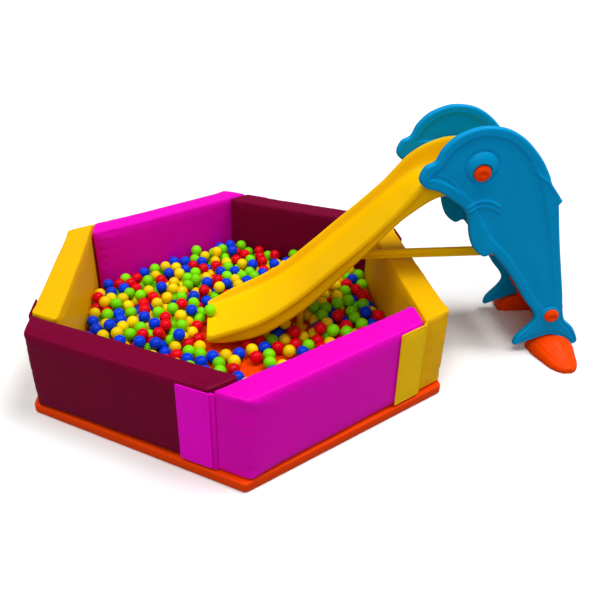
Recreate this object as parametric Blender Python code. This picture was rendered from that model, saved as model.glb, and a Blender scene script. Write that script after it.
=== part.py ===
"""Six-sided soft ball pit with a free-standing dolphin-panel slide. Metres, +Z up, origin under the mat's centre.

The pit: foam blocks with vinyl covers stand in a pinwheel on a hexagonal mat, and sewn flaps close the corners.
The slide: two moulded side panels carry the chute, deck and steps, and a base with two feet stands on the floor.
"""

from math import atan2, ceil, cos, hypot, pi, radians, sin, sqrt, tan

import bmesh
import bpy
from mathutils import Matrix, Vector

# Fits and shared small sizes
SEAT_GAP = 0.0003
OVERRUN = 0.02
SHARP_ANGLE = radians(35)

# Pit: hexagon, walls and mat
SIDES = 6
TURN = 2 * pi / SIDES
ACROSS_FLATS = 2.0
SIDE = ACROSS_FLATS / sqrt(3)
WALL_THICK = 0.15
WALL_HEIGHT = 0.43
WALL_ROUND = 0.012
CORNER_ROUND = 0.026
TIP_ROUND = 0.045
CORNER_SEGMENTS = 2
TIP_SEGMENTS = 4
FACE_CROWN = 0.005
TOP_CROWN = 0.004
COVER_THICK = 0.001
MAT_THICK = 0.05
MAT_REACH = 0.008
MAT_CORNER_ROUND = 0.03
MAT_HEADING = radians(-1)
MAT_ROUND = 0.01
BASE_SHEET_THICK = 0.002
ZIP_LENGTH = 0.8
ZIP_WIDTH = 0.012
BLOCK_NAMES = ("front_left", "front_right", "right", "back_right", "back_left", "left")
FIRST_CORNER = radians(210)

# Corner flaps with hook and loop strips
FLAP_WIDTH = 0.158
FLAP_THICK = 0.009
FLAP_BELOW_TOP = 0.008
FLAP_ABOVE_MAT = 0.012
FLAP_SWELL = 0.002
STRIP_THICK = 0.001
STRIP_WIDTH = 0.05
STRIP_FROM_EDGE = 0.02
STRIP_SHORTER = 0.02
FLAT_MARGIN = 0.02

# Balls
BALL_DIAMETER = 0.07
FILL_DEPTH = 0.12
FILL_SLOPE = 0.02
FILL_SINK = 0.024
CHUTE_CLEAR = 0.006

# Slide: place on the floor
SLIDE_HEADING = radians(-2.1)
NOSE_FROM_CENTRE = 0.897

# Side panels
PANEL_SPACING = 0.438
PANEL_THICK = 0.04
PANEL_LENGTH = 0.974
PANEL_HEIGHT = 1.225
PANEL_ABOVE_FLOOR = 0.034
PANEL_ROUND = 0.009
OUTLINE_STEP = 0.03
FACE_SINK = 0.005
INNER_SINK = 0.008
INNER_SINK_UP = 0.13
EYE_SHARES = (0.29877, 0.82204)
EYE_BOSS_RADIUS = 0.076
EYE_BOSS_RISE = 0.016
EYE_BOSS_OFFSET = 0.024
EYE_SEAT_RISE = 0.009
EYE_SEAT_MARGIN = 0.003
TAIL_BOLT_SHARE = 0.80801
TAIL_BOLT_BELOW_TREAD = 0.031
TAIL_BOSS_RADIUS = 0.046
TAIL_BOSS_RISE = 0.005
GILL_RADIUS = 0.006
GILL_SPACING = 0.026
GILL_LENGTH = 0.15
GILL_SAG = 0.03
GILL_SHARES = (0.33881, 0.70204)
MOUTH_RADIUS = 0.005

# Bolts
BOLT_SHANK_RADIUS = 0.02
BOLT_CLEARANCE = 0.0003
BOLT_GRIP = 0.015
EYE_HEAD_RADIUS = 0.041
TAIL_HEAD_RADIUS = 0.037
HEAD_RISE = 0.022
HEAD_EDGE = 0.006
SLOT_WIDTH = 0.012
SLOT_DEPTH = 0.009

# Chute
CHUTE_PAST_EYE = 0.082
CHUTE_RUN = 1.427
CHUTE_END_HEIGHT = 0.12
CHUTE_HALF_WIDTH = 0.24
CHUTE_WALL = 0.16
CHUTE_FLOOR_THICK = 0.022
CHUTE_WALL_THICK = 0.026
CHUTE_SKIRT = 0.042
RIM_ROUND = 0.012
LIP_DROP = 0.03
LIP_REACH = 0.009

# Deck, steps, base
DECK_LENGTH = 0.25
DECK_THICK = 0.035
JOINT_GAP = 0.004
STEP_DEPTH = 0.15
STEP_THICK = 0.05
STEP_WALL = 0.012
STEP_ROUND = 0.008
TREAD_THICK = 0.035
RISER_THICK = 0.03
CHEEK_THICK = 0.018
FOOT_REACH = 0.445
FOOT_WIDTH = 0.236
FOOT_HEIGHT = 0.105
FOOT_EDGE = 0.012

# Leg, brace bar and cross tube
LEG_RADIUS = 0.02
LEG_FOOT_RADIUS = 0.042
LEG_FOOT_THICK = 0.012
LUG_WALL = 0.008
LUG_DEPTH = 0.03
BAR_ABOVE_WALL = 0.0057
BAR_BELOW_FLOOR = 0.0629
BAR_TALL = 0.048
BAR_WIDE = 0.034
BAR_RIDGE = 0.005
CROSS_TUBE_RADIUS = 0.021
CROSS_TUBE_BORE = 0.015
BAR_SOCKET = 0.004

# Places of the slide's pieces. Back from the nose tip they are shares of the panel's length, up from its lowest
# point shares of its height, the steps' tops shares of the deck's height, and along the chute shares of its run
DECK_UP_SHARE = 0.73959
HIGH_STEP_SHARES = (0.63142, 0.76064)
LOW_STEP_SHARES = (0.73101, 0.52128)
TREAD_SHARES = (0.76489, 0.89528, 0.28192)
RISER_FOOT_SHARE = 0.95791
FOOT_MIDDLE_SHARE = 0.85216
CROSS_TUBE_SHARE = 0.58008
LEG_RUN_SHARE = 0.37141

# Outline of a side panel: share of the length from the nose tip, share of the height from the lowest point,
# and whether the curve has a corner there
OUTLINE_SHARES = (
    (0.000, 0.797, False),
    (0.021, 0.847, False),
    (0.069, 0.869, False),
    (0.098, 0.917, False),
    (0.154, 0.963, False),
    (0.230, 0.991, False),
    (0.301, 1.000, False),
    (0.403, 0.987, False),
    (0.496, 0.944, False),
    (0.588, 0.868, False),
    (0.645, 0.797, False),
    (0.663, 0.765, False),
    (0.736, 0.691, True),
    (0.721, 0.675, True),
    (0.772, 0.504, False),
    (0.847, 0.280, False),
    (0.894, 0.139, False),
    (0.958, 0.087, False),
    (1.000, 0.018, False),
    (0.961, 0.000, False),
    (0.842, 0.055, False),
    (0.709, 0.023, False),
    (0.644, 0.005, False),
    (0.650, 0.046, False),
    (0.728, 0.144, False),
    (0.646, 0.243, False),
    (0.546, 0.359, False),
    (0.457, 0.443, False),
    (0.427, 0.466, False),
    (0.384, 0.454, False),
    (0.326, 0.491, False),
    (0.291, 0.553, False),
    (0.273, 0.620, False),
    (0.244, 0.667, False),
    (0.169, 0.713, False),
    (0.098, 0.747, False),
    (0.038, 0.761, False),
)

# Edge of the sunk face inside the panel's raised rim, as the same shares
FACE_SHARES = (
    (0.050, 0.806, False),
    (0.100, 0.846, False),
    (0.140, 0.900, False),
    (0.190, 0.937, False),
    (0.245, 0.958, False),
    (0.305, 0.965, False),
    (0.385, 0.954, False),
    (0.465, 0.917, False),
    (0.548, 0.846, False),
    (0.600, 0.775, False),
    (0.645, 0.680, False),
    (0.722, 0.500, False),
    (0.792, 0.300, False),
    (0.812, 0.200, False),
    (0.770, 0.185, False),
    (0.700, 0.245, False),
    (0.590, 0.370, False),
    (0.490, 0.470, False),
    (0.400, 0.540, False),
    (0.320, 0.640, False),
    (0.270, 0.705, False),
    (0.190, 0.752, False),
    (0.110, 0.785, False),
)

# The mouth line on the outer face, as shares of the panel's length and height
MOUTH_SHARES = ((0.045, 0.800), (0.085, 0.806), (0.130, 0.794), (0.180, 0.762), (0.225, 0.725))

# Stations along the chute from its low end: share of the run, share of the rise, share of the greatest
# half width, share of the greatest wall height, share of the greatest skirt
CHUTE_SHARES = (
    (0.000, 0.000, 0.771, 0.110, 0.52),
    (0.015, 0.001, 0.842, 0.150, 0.56),
    (0.047, 0.006, 0.883, 0.225, 0.63),
    (0.096, 0.027, 0.942, 0.312, 0.74),
    (0.152, 0.063, 0.987, 0.344, 0.87),
    (0.208, 0.105, 1.000, 0.344, 1.00),
    (0.264, 0.159, 0.983, 0.344, 1.00),
    (0.320, 0.222, 0.958, 0.344, 1.00),
    (0.376, 0.298, 0.938, 0.344, 0.94),
    (0.460, 0.430, 0.913, 0.344, 0.76),
    (0.544, 0.565, 0.905, 0.344, 0.50),
    (0.629, 0.704, 0.865, 0.344, 0.26),
    (0.690, 0.806, 0.835, 0.356, 0.20),
)

# The same above, where the chute stands between the panels and takes its width from them: share of the run,
# share of the rise, share of the greatest wall height, share of the greatest skirt
CHUTE_TOP_SHARES = (
    (0.730, 0.868, 0.388, 0.26),
    (0.776, 0.937, 0.487, 0.40),
    (0.811, 0.976, 0.613, 0.50),
    (0.846, 0.995, 0.762, 0.60),
    (0.881, 1.000, 0.906, 0.60),
    (0.923, 1.000, 0.988, 0.60),
    (1.000, 1.000, 1.000, 0.60),
)

# Stations of a foot from the cheek to its tip: share of the reach, share of the width, share of the height
FOOT_SHARES = (
    (0.00, 1.00, 1.00),
    (0.30, 0.95, 0.94),
    (0.55, 0.79, 0.74),
    (0.78, 0.63, 0.53),
    (0.92, 0.43, 0.40),
    (1.00, 0.18, 0.30),
)

# Front edge of a base cheek from the floor up to the tread: share of the tread's depth in front of its back
# edge, share of the tread's height
CHEEK_SHARES = ((1.02, 0.0), (0.95, 0.25), (0.45, 0.42), (0.56, 0.62), (0.83, 0.80), (0.98, 0.93))

# Worked out from the sizes above
SKEW = WALL_THICK * tan(TURN / 2)
END_LENGTH = WALL_THICK / sin(TURN)
BLOCK_SHORT = SIDE - END_LENGTH
WALL_BOTTOM = MAT_THICK + SEAT_GAP
WALL_TOP = WALL_BOTTOM + WALL_HEIGHT
INNER_APOTHEM = ACROSS_FLATS / 2 - WALL_THICK
FLAP_STANDOFF = 2 * STRIP_THICK + 3 * SEAT_GAP
HINGE_OUT = FLAP_STANDOFF + FLAP_THICK / 2
PANEL_INNER = (PANEL_SPACING - PANEL_THICK) / 2
PANEL_OUTER = (PANEL_SPACING + PANEL_THICK) / 2
INSIDE_HALF = PANEL_INNER - SEAT_GAP
EYE_BOSS_BACK = PANEL_OUTER - FACE_SINK * 3 / 2
EYE_SEAT = EYE_BOSS_BACK + EYE_SEAT_RISE
EYE = (NOSE_FROM_CENTRE + EYE_SHARES[0] * PANEL_LENGTH, PANEL_ABOVE_FLOOR + EYE_SHARES[1] * PANEL_HEIGHT)
DECK_HEIGHT = PANEL_ABOVE_FLOOR + DECK_UP_SHARE * PANEL_HEIGHT
TREAD_FRONT = NOSE_FROM_CENTRE + TREAD_SHARES[0] * PANEL_LENGTH
TREAD_BACK = NOSE_FROM_CENTRE + TREAD_SHARES[1] * PANEL_LENGTH
TREAD_HEIGHT = TREAD_SHARES[2] * DECK_HEIGHT
TAIL_BOLT = (NOSE_FROM_CENTRE + TAIL_BOLT_SHARE * PANEL_LENGTH, TREAD_HEIGHT - TAIL_BOLT_BELOW_TREAD)
CHUTE_TOP = EYE[0] + CHUTE_PAST_EYE
CHUTE_END = CHUTE_TOP - CHUTE_RUN
CHUTE_RISE = DECK_HEIGHT - CHUTE_END_HEIGHT
LEG_X = CHUTE_END + LEG_RUN_SHARE * CHUTE_RUN
BAR_HEIGHT = WALL_TOP + BAR_ABOVE_WALL + BAR_TALL / 2

# Colours, roughness
MAGENTA = ((0.80, 0.0, 0.55), 0.45)
MAROON = ((0.13, 0.004, 0.03), 0.45)
YELLOW_VINYL = ((0.95, 0.62, 0.0), 0.45)
ORANGE_VINYL = ((0.95, 0.13, 0.0), 0.45)
FOAM = ((0.85, 0.82, 0.7), 0.9)
TAPE = ((0.05, 0.05, 0.05), 0.9)
BALL_MIX = ((0.25, 0.5, 0.9), 0.35)
BLUE_PLASTIC = ((0.0, 0.17, 0.38), 0.4)
YELLOW_PLASTIC = ((0.98, 0.58, 0.0), 0.4)
ORANGE_PLASTIC = ((0.95, 0.07, 0.0), 0.35)
BLOCK_COLOURS = (MAROON, MAGENTA, YELLOW_VINYL, MAROON, MAGENTA, YELLOW_VINYL)


def clear_scene():
    for thing in list(bpy.data.objects):
        bpy.data.objects.remove(thing, do_unlink=True)


def material(name, finish):
    """A Principled material of this colour and roughness, made once for each name."""
    found = bpy.data.materials.get(name)
    if found:
        return found
    made = bpy.data.materials.new(name)
    made.use_nodes = True
    shader = made.node_tree.nodes["Principled BSDF"]
    colour, roughness = finish
    shader.inputs["Base Color"].default_value = (*colour, 1)
    shader.inputs["Roughness"].default_value = roughness
    shader.inputs["Metallic"].default_value = 0
    return made


def place(name, mesh_edit, finish=None, parent=None, at=(0, 0, 0), turn=0):
    """An object made of this bmesh, with its own material, at a place and a turn about Z under its parent."""
    bmesh.ops.recalc_face_normals(mesh_edit, faces=mesh_edit.faces)
    mesh = bpy.data.meshes.new(name)
    mesh_edit.to_mesh(mesh)
    mesh_edit.free()
    mesh.shade_smooth()
    mesh.set_sharp_from_angle(angle=SHARP_ANGLE)
    thing = bpy.data.objects.new(name, mesh)
    bpy.context.scene.collection.objects.link(thing)
    thing.location = at
    thing.rotation_euler.z = turn
    thing.parent = parent
    if finish:
        mesh.materials.append(material(name, finish))
    return thing


def helper(name, mesh_edit, parent=None, at=(0, 0, 0), turn=0):
    """A cutter or an addition for a Boolean, kept out of renders."""
    thing = place(name, mesh_edit, None, parent, at, turn)
    thing.hide_render = True
    thing.display_type = "WIRE"
    return thing


def boolean(target, tool, operation):
    modifier = target.modifiers.new(tool.name, "BOOLEAN")
    modifier.object = tool
    modifier.operation = operation
    modifier.solver = "EXACT"


def round_edges(mesh_edit, edges, width, segments=2):
    bmesh.ops.bevel(
        mesh_edit, geom=edges, offset=width, segments=segments, profile=0.5, affect="EDGES", clamp_overlap=True
    )


def upright_at(mesh_edit, place_in_plan):
    """The upright edges that stand at one place of a plan."""
    middle = Vector(place_in_plan)
    return [edge for edge in mesh_edit.edges if all((vert.co.xy - middle).length < SEAT_GAP for vert in edge.verts)]


def sharp_edges(mesh_edit):
    mesh_edit.normal_update()
    return [edge for edge in mesh_edit.edges if edge.calc_face_angle() > SHARP_ANGLE]


def prism(outline, low, high, axis="Z"):
    """A bmesh of a closed outline carried from low to high along an axis. A Y prism's outline is in X and Z."""
    mesh_edit = bmesh.new()
    if axis == "Z":
        places = [(x, y, low) for x, y in outline]
        move = Vector((0, 0, high - low))
    else:
        places = [(x, low, z) for x, z in outline]
        move = Vector((0, high - low, 0))
    face = mesh_edit.faces.new([mesh_edit.verts.new(place_) for place_ in places])
    grown = bmesh.ops.extrude_face_region(mesh_edit, geom=[face])
    moved = [item for item in grown["geom"] if isinstance(item, bmesh.types.BMVert)]
    bmesh.ops.translate(mesh_edit, verts=moved, vec=move)
    bmesh.ops.recalc_face_normals(mesh_edit, faces=mesh_edit.faces)
    return mesh_edit


def box(low, high):
    return prism(((low[0], low[1]), (high[0], low[1]), (high[0], high[1]), (low[0], high[1])), low[2], high[2])


def rounded_box(low, high, width):
    mesh_edit = box(low, high)
    round_edges(mesh_edit, mesh_edit.edges[:], width)
    return mesh_edit


def loft(rings):
    """A closed bmesh through rings of equal count, with a cap at each end."""
    mesh_edit = bmesh.new()
    made = [[mesh_edit.verts.new(point) for point in ring] for ring in rings]
    for first, second in zip(made, made[1:]):
        for i in range(len(first)):
            j = (i + 1) % len(first)
            mesh_edit.faces.new((first[i], first[j], second[j], second[i]))
    mesh_edit.faces.new(made[0])
    mesh_edit.faces.new(made[-1])
    bmesh.ops.recalc_face_normals(mesh_edit, faces=mesh_edit.faces)
    return mesh_edit


def cylinder(radius, low, high, axis="Z", segments=24, other_radius=None):
    """A cylinder or cone from low to high along an axis through the origin."""
    mesh_edit = bmesh.new()
    bmesh.ops.create_cone(
        mesh_edit,
        cap_ends=True,
        segments=segments,
        radius1=radius,
        radius2=radius if other_radius is None else other_radius,
        depth=high - low,
    )
    bmesh.ops.translate(mesh_edit, verts=mesh_edit.verts, vec=(0, 0, (low + high) / 2))
    if axis == "Y":
        bmesh.ops.rotate(mesh_edit, verts=mesh_edit.verts, matrix=Matrix.Rotation(-pi / 2, 3, "X"))
    return mesh_edit


def moved(mesh_edit, by):
    bmesh.ops.translate(mesh_edit, verts=mesh_edit.verts, vec=by)
    return mesh_edit


def turned(profile, segments=32):
    """A solid of revolution about Z, closed on the axis, from (radius, height) points that start and end there."""
    mesh_edit = bmesh.new()
    chain = [mesh_edit.verts.new((radius, 0, height)) for radius, height in profile]
    edges = [mesh_edit.edges.new(pair) for pair in zip(chain, chain[1:])]
    bmesh.ops.spin(
        mesh_edit, geom=chain + edges, cent=(0, 0, 0), axis=(0, 0, 1), angle=2 * pi, steps=segments, use_merge=True
    )
    bmesh.ops.remove_doubles(mesh_edit, verts=mesh_edit.verts, dist=SEAT_GAP / 10)
    bmesh.ops.recalc_face_normals(mesh_edit, faces=mesh_edit.faces)
    return mesh_edit


def swept_tube(points, radius, sides=8):
    """A round bar along points that lie in a plane across Y."""
    rings = []
    for i, point in enumerate(points):
        before, after = points[max(i - 1, 0)], points[min(i + 1, len(points) - 1)]
        along = (Vector(after) - Vector(before)).normalized()
        side = Vector((0, 1, 0))
        up = side.cross(along)
        turns = [2 * pi * k / sides for k in range(sides)]
        rings.append([Vector(point) + radius * (cos(a) * up + sin(a) * side) for a in turns])
    return loft(rings)


def smooth_loop(points, step):
    """Points along a closed smooth curve through (x, z, corner) points, about a step apart."""
    count = len(points)

    def tangent(i, towards):
        x, z, corner = points[i][:3]
        if corner:
            other = points[(i + towards) % count]
            return Vector(((other[0] - x) * towards, (other[1] - z) * towards))
        before, after = points[i - 1], points[(i + 1) % count]
        return Vector((after[0] - before[0], after[1] - before[1])) / 2

    found = []
    for i in range(count):
        start, end = Vector(points[i][:2]), Vector(points[(i + 1) % count][:2])
        leave, arrive = tangent(i, 1), tangent((i + 1) % count, -1)
        # A long tangent at the end of a short stretch would make the curve double back.
        reach = (end - start).length
        leave *= min(1, reach / max(leave.length, SEAT_GAP))
        arrive *= min(1, reach / max(arrive.length, SEAT_GAP))
        pieces = max(1, ceil(reach / step))
        for k in range(pieces):
            t = k / pieces
            found.append(
                (2 * t**3 - 3 * t**2 + 1) * start
                + (t**3 - 2 * t**2 + t) * leave
                + (3 * t**2 - 2 * t**3) * end
                + (t**3 - t**2) * arrive
            )
    return [tuple(point) for point in found]


def inward(loop, distance):
    """The loop moved in by a distance, measured along each point's normal."""
    count = len(loop)
    area = sum(loop[i - 1][0] * loop[i][1] - loop[i][0] * loop[i - 1][1] for i in range(count))
    side = 1 if area > 0 else -1
    result = []
    for i in range(count):
        before, after = Vector(loop[i - 1]), Vector(loop[(i + 1) % count])
        along = (after - before).normalized()
        result.append((loop[i][0] - side * distance * along.y, loop[i][1] + side * distance * along.x))
    return result


def fade(value, low, high):
    """1 in the middle of a range and 0 at its ends and outside it, in a flat-topped curve."""
    if not low < value < high:
        return 0
    return 1 - (2 * (value - low) / (high - low) - 1) ** 4


# The pit


def corner(k):
    """Where the outer edges of two sides meet, for corner k counted anticlockwise from above."""
    angle = FIRST_CORNER + k * TURN
    return Vector((SIDE * cos(angle), SIDE * sin(angle), 0))


def side_turn(k):
    """The direction of side k, along its block's own X."""
    return FIRST_CORNER + k * TURN + TURN + radians(60)


def block_shape(inset, width, crowned):
    """One wall block in its own place: X along the outer face from its corner, Y inwards.

    Its plan is a trapezoid: the long face is inside, and each end lies at the hexagon's angle, so that one end
    closes the corner's outer face and the other butts against the next block's inner face. The edges are
    rounded to this width, and three of the upright ones more: not the one that the flap is sewn to.
    """
    slant = inset / cos(TURN / 2)
    low, high = inset, WALL_THICK - inset
    last = BLOCK_SHORT - SEAT_GAP / cos(TURN / 2)
    outline = (
        (-low * tan(TURN / 2) + slant, low),
        (last + low * tan(TURN / 2) - slant, low),
        (last + high * tan(TURN / 2) - slant, high),
        (-high * tan(TURN / 2) + slant, high),
    )
    bottom, top = WALL_BOTTOM + inset, WALL_TOP - inset
    mesh_edit = prism(outline, bottom, top)
    rounds = (
        (CORNER_ROUND - inset * tan(TURN / 2), CORNER_SEGMENTS),
        (CORNER_ROUND - inset * tan(TURN / 2), CORNER_SEGMENTS),
        (TIP_ROUND - inset * tan(TURN), TIP_SEGMENTS),
    )
    for place_in_plan, (offset, segments) in zip(outline, rounds):
        round_edges(mesh_edit, upright_at(mesh_edit, place_in_plan), offset, segments)
    round_edges(mesh_edit, sharp_edges(mesh_edit), width)
    if not crowned:
        return mesh_edit
    outer_end = BLOCK_SHORT - FLAP_WIDTH - FLAT_MARGIN
    inner_start = END_LENGTH - SKEW + FLAT_MARGIN
    inner_end = BLOCK_SHORT + SKEW - FLAT_MARGIN
    cuts = [Vector((inner_start + (outer_end - inner_start) * i / 4, 0, 0)) for i in range(5)]
    planes = [(cut, Vector((1, 0, 0))) for cut in cuts]
    planes += [(Vector((0, 0, bottom + (top - bottom) * i / 4)), Vector((0, 0, 1))) for i in (1, 2, 3)]
    planes.append((Vector((0, WALL_THICK / 2, 0)), Vector((0, 1, 0))))
    for point, normal in planes:
        everything = mesh_edit.verts[:] + mesh_edit.edges[:] + mesh_edit.faces[:]
        bmesh.ops.bisect_plane(mesh_edit, geom=everything, plane_co=point, plane_no=normal)
    for vert in mesh_edit.verts:
        x, y, z = vert.co
        up = fade(z, bottom, top)
        if y < WALL_ROUND / 2:
            vert.co.y -= FACE_CROWN * fade(x, 0, outer_end) * up
        elif y > WALL_THICK - WALL_ROUND / 2:
            vert.co.y += FACE_CROWN * fade(x, inner_start, inner_end) * up
        if z > top - WALL_ROUND / 2:
            vert.co.z += TOP_CROWN * fade(x, -SKEW, BLOCK_SHORT + SKEW) * fade(y, 0, WALL_THICK)
    return mesh_edit


def build_block(k):
    name, colour = BLOCK_NAMES[k], BLOCK_COLOURS[k]
    where = {"at": corner(k), "turn": side_turn(k)}
    middle = BLOCK_SHORT / 2
    zip_low = (middle - ZIP_LENGTH / 2, (WALL_THICK - ZIP_WIDTH) / 2)
    zip_high = (middle + ZIP_LENGTH / 2, (WALL_THICK + ZIP_WIDTH) / 2)

    cover = place(f"wall_cover_{name}", block_shape(0, WALL_ROUND, True), colour, **where)
    hollow = helper(f"cut_hollow_{name}", block_shape(COVER_THICK, WALL_ROUND - COVER_THICK, False), **where)
    boolean(cover, hollow, "DIFFERENCE")
    slot = box((*zip_low, WALL_BOTTOM - OVERRUN), (*zip_high, WALL_BOTTOM + COVER_THICK * 2))
    boolean(cover, helper(f"cut_zip_{name}", slot, **where), "DIFFERENCE")

    place(f"wall_foam_{name}", block_shape(COVER_THICK + SEAT_GAP, WALL_ROUND, False), FOAM, **where)
    tape = box(
        (zip_low[0] + SEAT_GAP, zip_low[1] + SEAT_GAP, WALL_BOTTOM),
        (zip_high[0] - SEAT_GAP, zip_high[1] - SEAT_GAP, WALL_BOTTOM + COVER_THICK),
    )
    place(f"wall_zip_{name}", tape, TAPE, **where)


def build_flap(k):
    """The flap sewn to block k, closing the corner over the block before it, with its hook and loop strips.

    It is made in the earlier block's frame. The object's origin is on the sewn edge, which is the hinge axis.
    """
    name, colour = BLOCK_NAMES[k], BLOCK_COLOURS[k]
    before = (k - 1) % SIDES
    turn = side_turn(before)
    hinge = corner(before) + Matrix.Rotation(turn, 3, "Z") @ Vector((BLOCK_SHORT, -HINGE_OUT, 0))
    bottom, top = WALL_BOTTOM + FLAP_ABOVE_MAT, WALL_TOP - FLAP_BELOW_TOP
    half = FLAP_THICK / 2

    # Section from the round sewn edge to the round free edge, along -X, the back flat and the front swollen
    count = 6
    section = [(half * sin(pi * i / count), half * cos(pi * i / count)) for i in range(count + 1)]
    reach = FLAP_WIDTH - FLAP_THICK
    stretches = 6
    section += [
        (-reach * i / stretches, -half - FLAP_SWELL * fade(i / stretches, 0, 1)) for i in range(1, stretches)
    ]
    section += [
        (-reach - half * sin(pi * i / count), -half * cos(pi * i / count)) for i in range(count + 1)
    ]
    flap = prism(section, bottom, top)
    across = [edge for edge in flap.edges if abs(edge.verts[0].co.z - edge.verts[1].co.z) < SEAT_GAP]
    round_edges(flap, across, FLAP_THICK / 4, 1)
    place(f"closure_flap_{name}", flap, colour, at=hinge, turn=turn)

    low = (-FLAP_WIDTH + STRIP_FROM_EDGE, bottom + STRIP_SHORTER)
    high = (low[0] + STRIP_WIDTH, top - STRIP_SHORTER)
    back = half + SEAT_GAP
    hook = box((low[0], back, low[1]), (high[0], back + STRIP_THICK, high[1]))
    place(f"hook_strip_{name}", hook, TAPE, at=hinge, turn=turn)
    face = back + STRIP_THICK + SEAT_GAP
    loop = box((low[0], face, low[1]), (high[0], face + STRIP_THICK, high[1]))
    place(f"loop_strip_{name}", loop, TAPE, at=hinge, turn=turn)


def hexagon(apothem, turned_by=0):
    reach = apothem / cos(TURN / 2)
    angles = [FIRST_CORNER + turned_by + k * TURN for k in range(SIDES)]
    return [(reach * cos(angle), reach * sin(angle)) for angle in angles]


def build_mat():
    apothem = ACROSS_FLATS / 2 + MAT_REACH
    sheet_outline = hexagon(apothem - MAT_ROUND / 2, MAT_HEADING)
    sheet = prism(sheet_outline, 0, BASE_SHEET_THICK)
    for place_in_plan in sheet_outline:
        round_edges(sheet, upright_at(sheet, place_in_plan), MAT_CORNER_ROUND, CORNER_SEGMENTS)
    place("mat_base_sheet", sheet, ORANGE_VINYL)

    bottom = BASE_SHEET_THICK + SEAT_GAP

    def slab(inset, low, width):
        """The mat's shape, smaller by an inset, with its upright and upper edges rounded."""
        outline = hexagon(apothem - inset, MAT_HEADING)
        shape = prism(outline, low, MAT_THICK - inset)
        for place_in_plan in outline:
            offset = MAT_CORNER_ROUND - inset * tan(TURN / 2)
            round_edges(shape, upright_at(shape, place_in_plan), offset, CORNER_SEGMENTS)
        above = [edge for edge in sharp_edges(shape) if min(vert.co.z for vert in edge.verts) > MAT_THICK / 2]
        round_edges(shape, above, width)
        return shape

    cover = place("mat_cover", slab(0, bottom, MAT_ROUND), ORANGE_VINYL)
    hollow = slab(COVER_THICK, bottom - OVERRUN, MAT_ROUND - COVER_THICK)
    boolean(cover, helper("cut_mat_hollow", hollow), "DIFFERENCE")
    place("mat_foam", slab(COVER_THICK + SEAT_GAP, bottom, MAT_ROUND), FOAM)


def ball_level(x, y):
    """Height of the ball tops: a little higher at the back and to the right, as the picture shows."""
    return MAT_THICK + FILL_DEPTH + FILL_SLOPE * (x + y) / ACROSS_FLATS


def build_balls(slide):
    """The filling as one solid whose top has a rounded bump for each ball of the uppermost layer."""
    radius = BALL_DIAMETER / 2
    pitch, row = BALL_DIAMETER, BALL_DIAMETER * sqrt(3) / 2
    reach = ACROSS_FLATS / 2
    count = ceil(reach / row) + 1
    bottom = MAT_THICK + SEAT_GAP
    corner_reach = pitch / sqrt(3)
    mesh_edit = bmesh.new()
    ring_verts = {}

    def ring_vert(x, y):
        key = (round(x / radius * 8), round(y / radius * 8))
        if key not in ring_verts:
            ring_verts[key] = mesh_edit.verts.new((x, y, ball_level(x, y) - FILL_SINK))
        return ring_verts[key]

    for j in range(-count, count + 1):
        for i in range(-count, count + 1):
            x, y = (i + (j % 2) / 2) * pitch, j * row
            crest = mesh_edit.verts.new((x, y, ball_level(x, y)))
            angles = [pi / 6 + pi / 3 * n for n in range(6)]
            ring = [ring_vert(x + corner_reach * cos(a), y + corner_reach * sin(a)) for a in angles]
            for n in range(6):
                mesh_edit.faces.new((crest, ring[n], ring[(n + 1) % 6]))
    bmesh.ops.recalc_face_normals(mesh_edit, faces=mesh_edit.faces)
    grown = bmesh.ops.extrude_face_region(mesh_edit, geom=mesh_edit.faces[:])
    for vert in [item for item in grown["geom"] if isinstance(item, bmesh.types.BMVert)]:
        vert.co.z = bottom - OVERRUN
    bmesh.ops.recalc_face_normals(mesh_edit, faces=mesh_edit.faces)
    fill = place("ball_filling", mesh_edit, BALL_MIX)

    inside = prism(hexagon(INNER_APOTHEM - FACE_CROWN - SEAT_GAP), bottom, WALL_TOP)
    boolean(fill, helper("keep_inside_walls", inside), "INTERSECT")

    under = [(x, z - CHUTE_FLOOR_THICK * 2 - CHUTE_CLEAR) for x, z, *_ in chute_stations() if z < WALL_HEIGHT]
    room = [(CHUTE_END - CHUTE_CLEAR, under[0][1]), *under, (under[-1][0], WALL_TOP)]
    room.append((CHUTE_END - CHUTE_CLEAR, WALL_TOP))
    side = CHUTE_HALF_WIDTH + CHUTE_CLEAR
    boolean(fill, helper("cut_chute_room", prism(room, -side, side, "Y"), slide), "DIFFERENCE")
    hole = cylinder(LEG_FOOT_RADIUS + CHUTE_CLEAR, 0, WALL_TOP)
    leg_place = (LEG_X, 0, 0)
    boolean(fill, helper("cut_leg_room", hole, slide, leg_place), "DIFFERENCE")


# The slide, made with X along its axis and turned as a whole by its parent empty


def panel_loop(points, step=OUTLINE_STEP):
    scaled = [
        (NOSE_FROM_CENTRE + x * PANEL_LENGTH, PANEL_ABOVE_FLOOR + z * PANEL_HEIGHT, is_corner)
        for x, z, is_corner in points
    ]
    return smooth_loop(scaled, step)


def mirrored(low, high, side):
    """A range of Y for the near panel at side -1, or its mirror image for the far one at side 1."""
    return (low, high) if side < 0 else (-high, -low)


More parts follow.
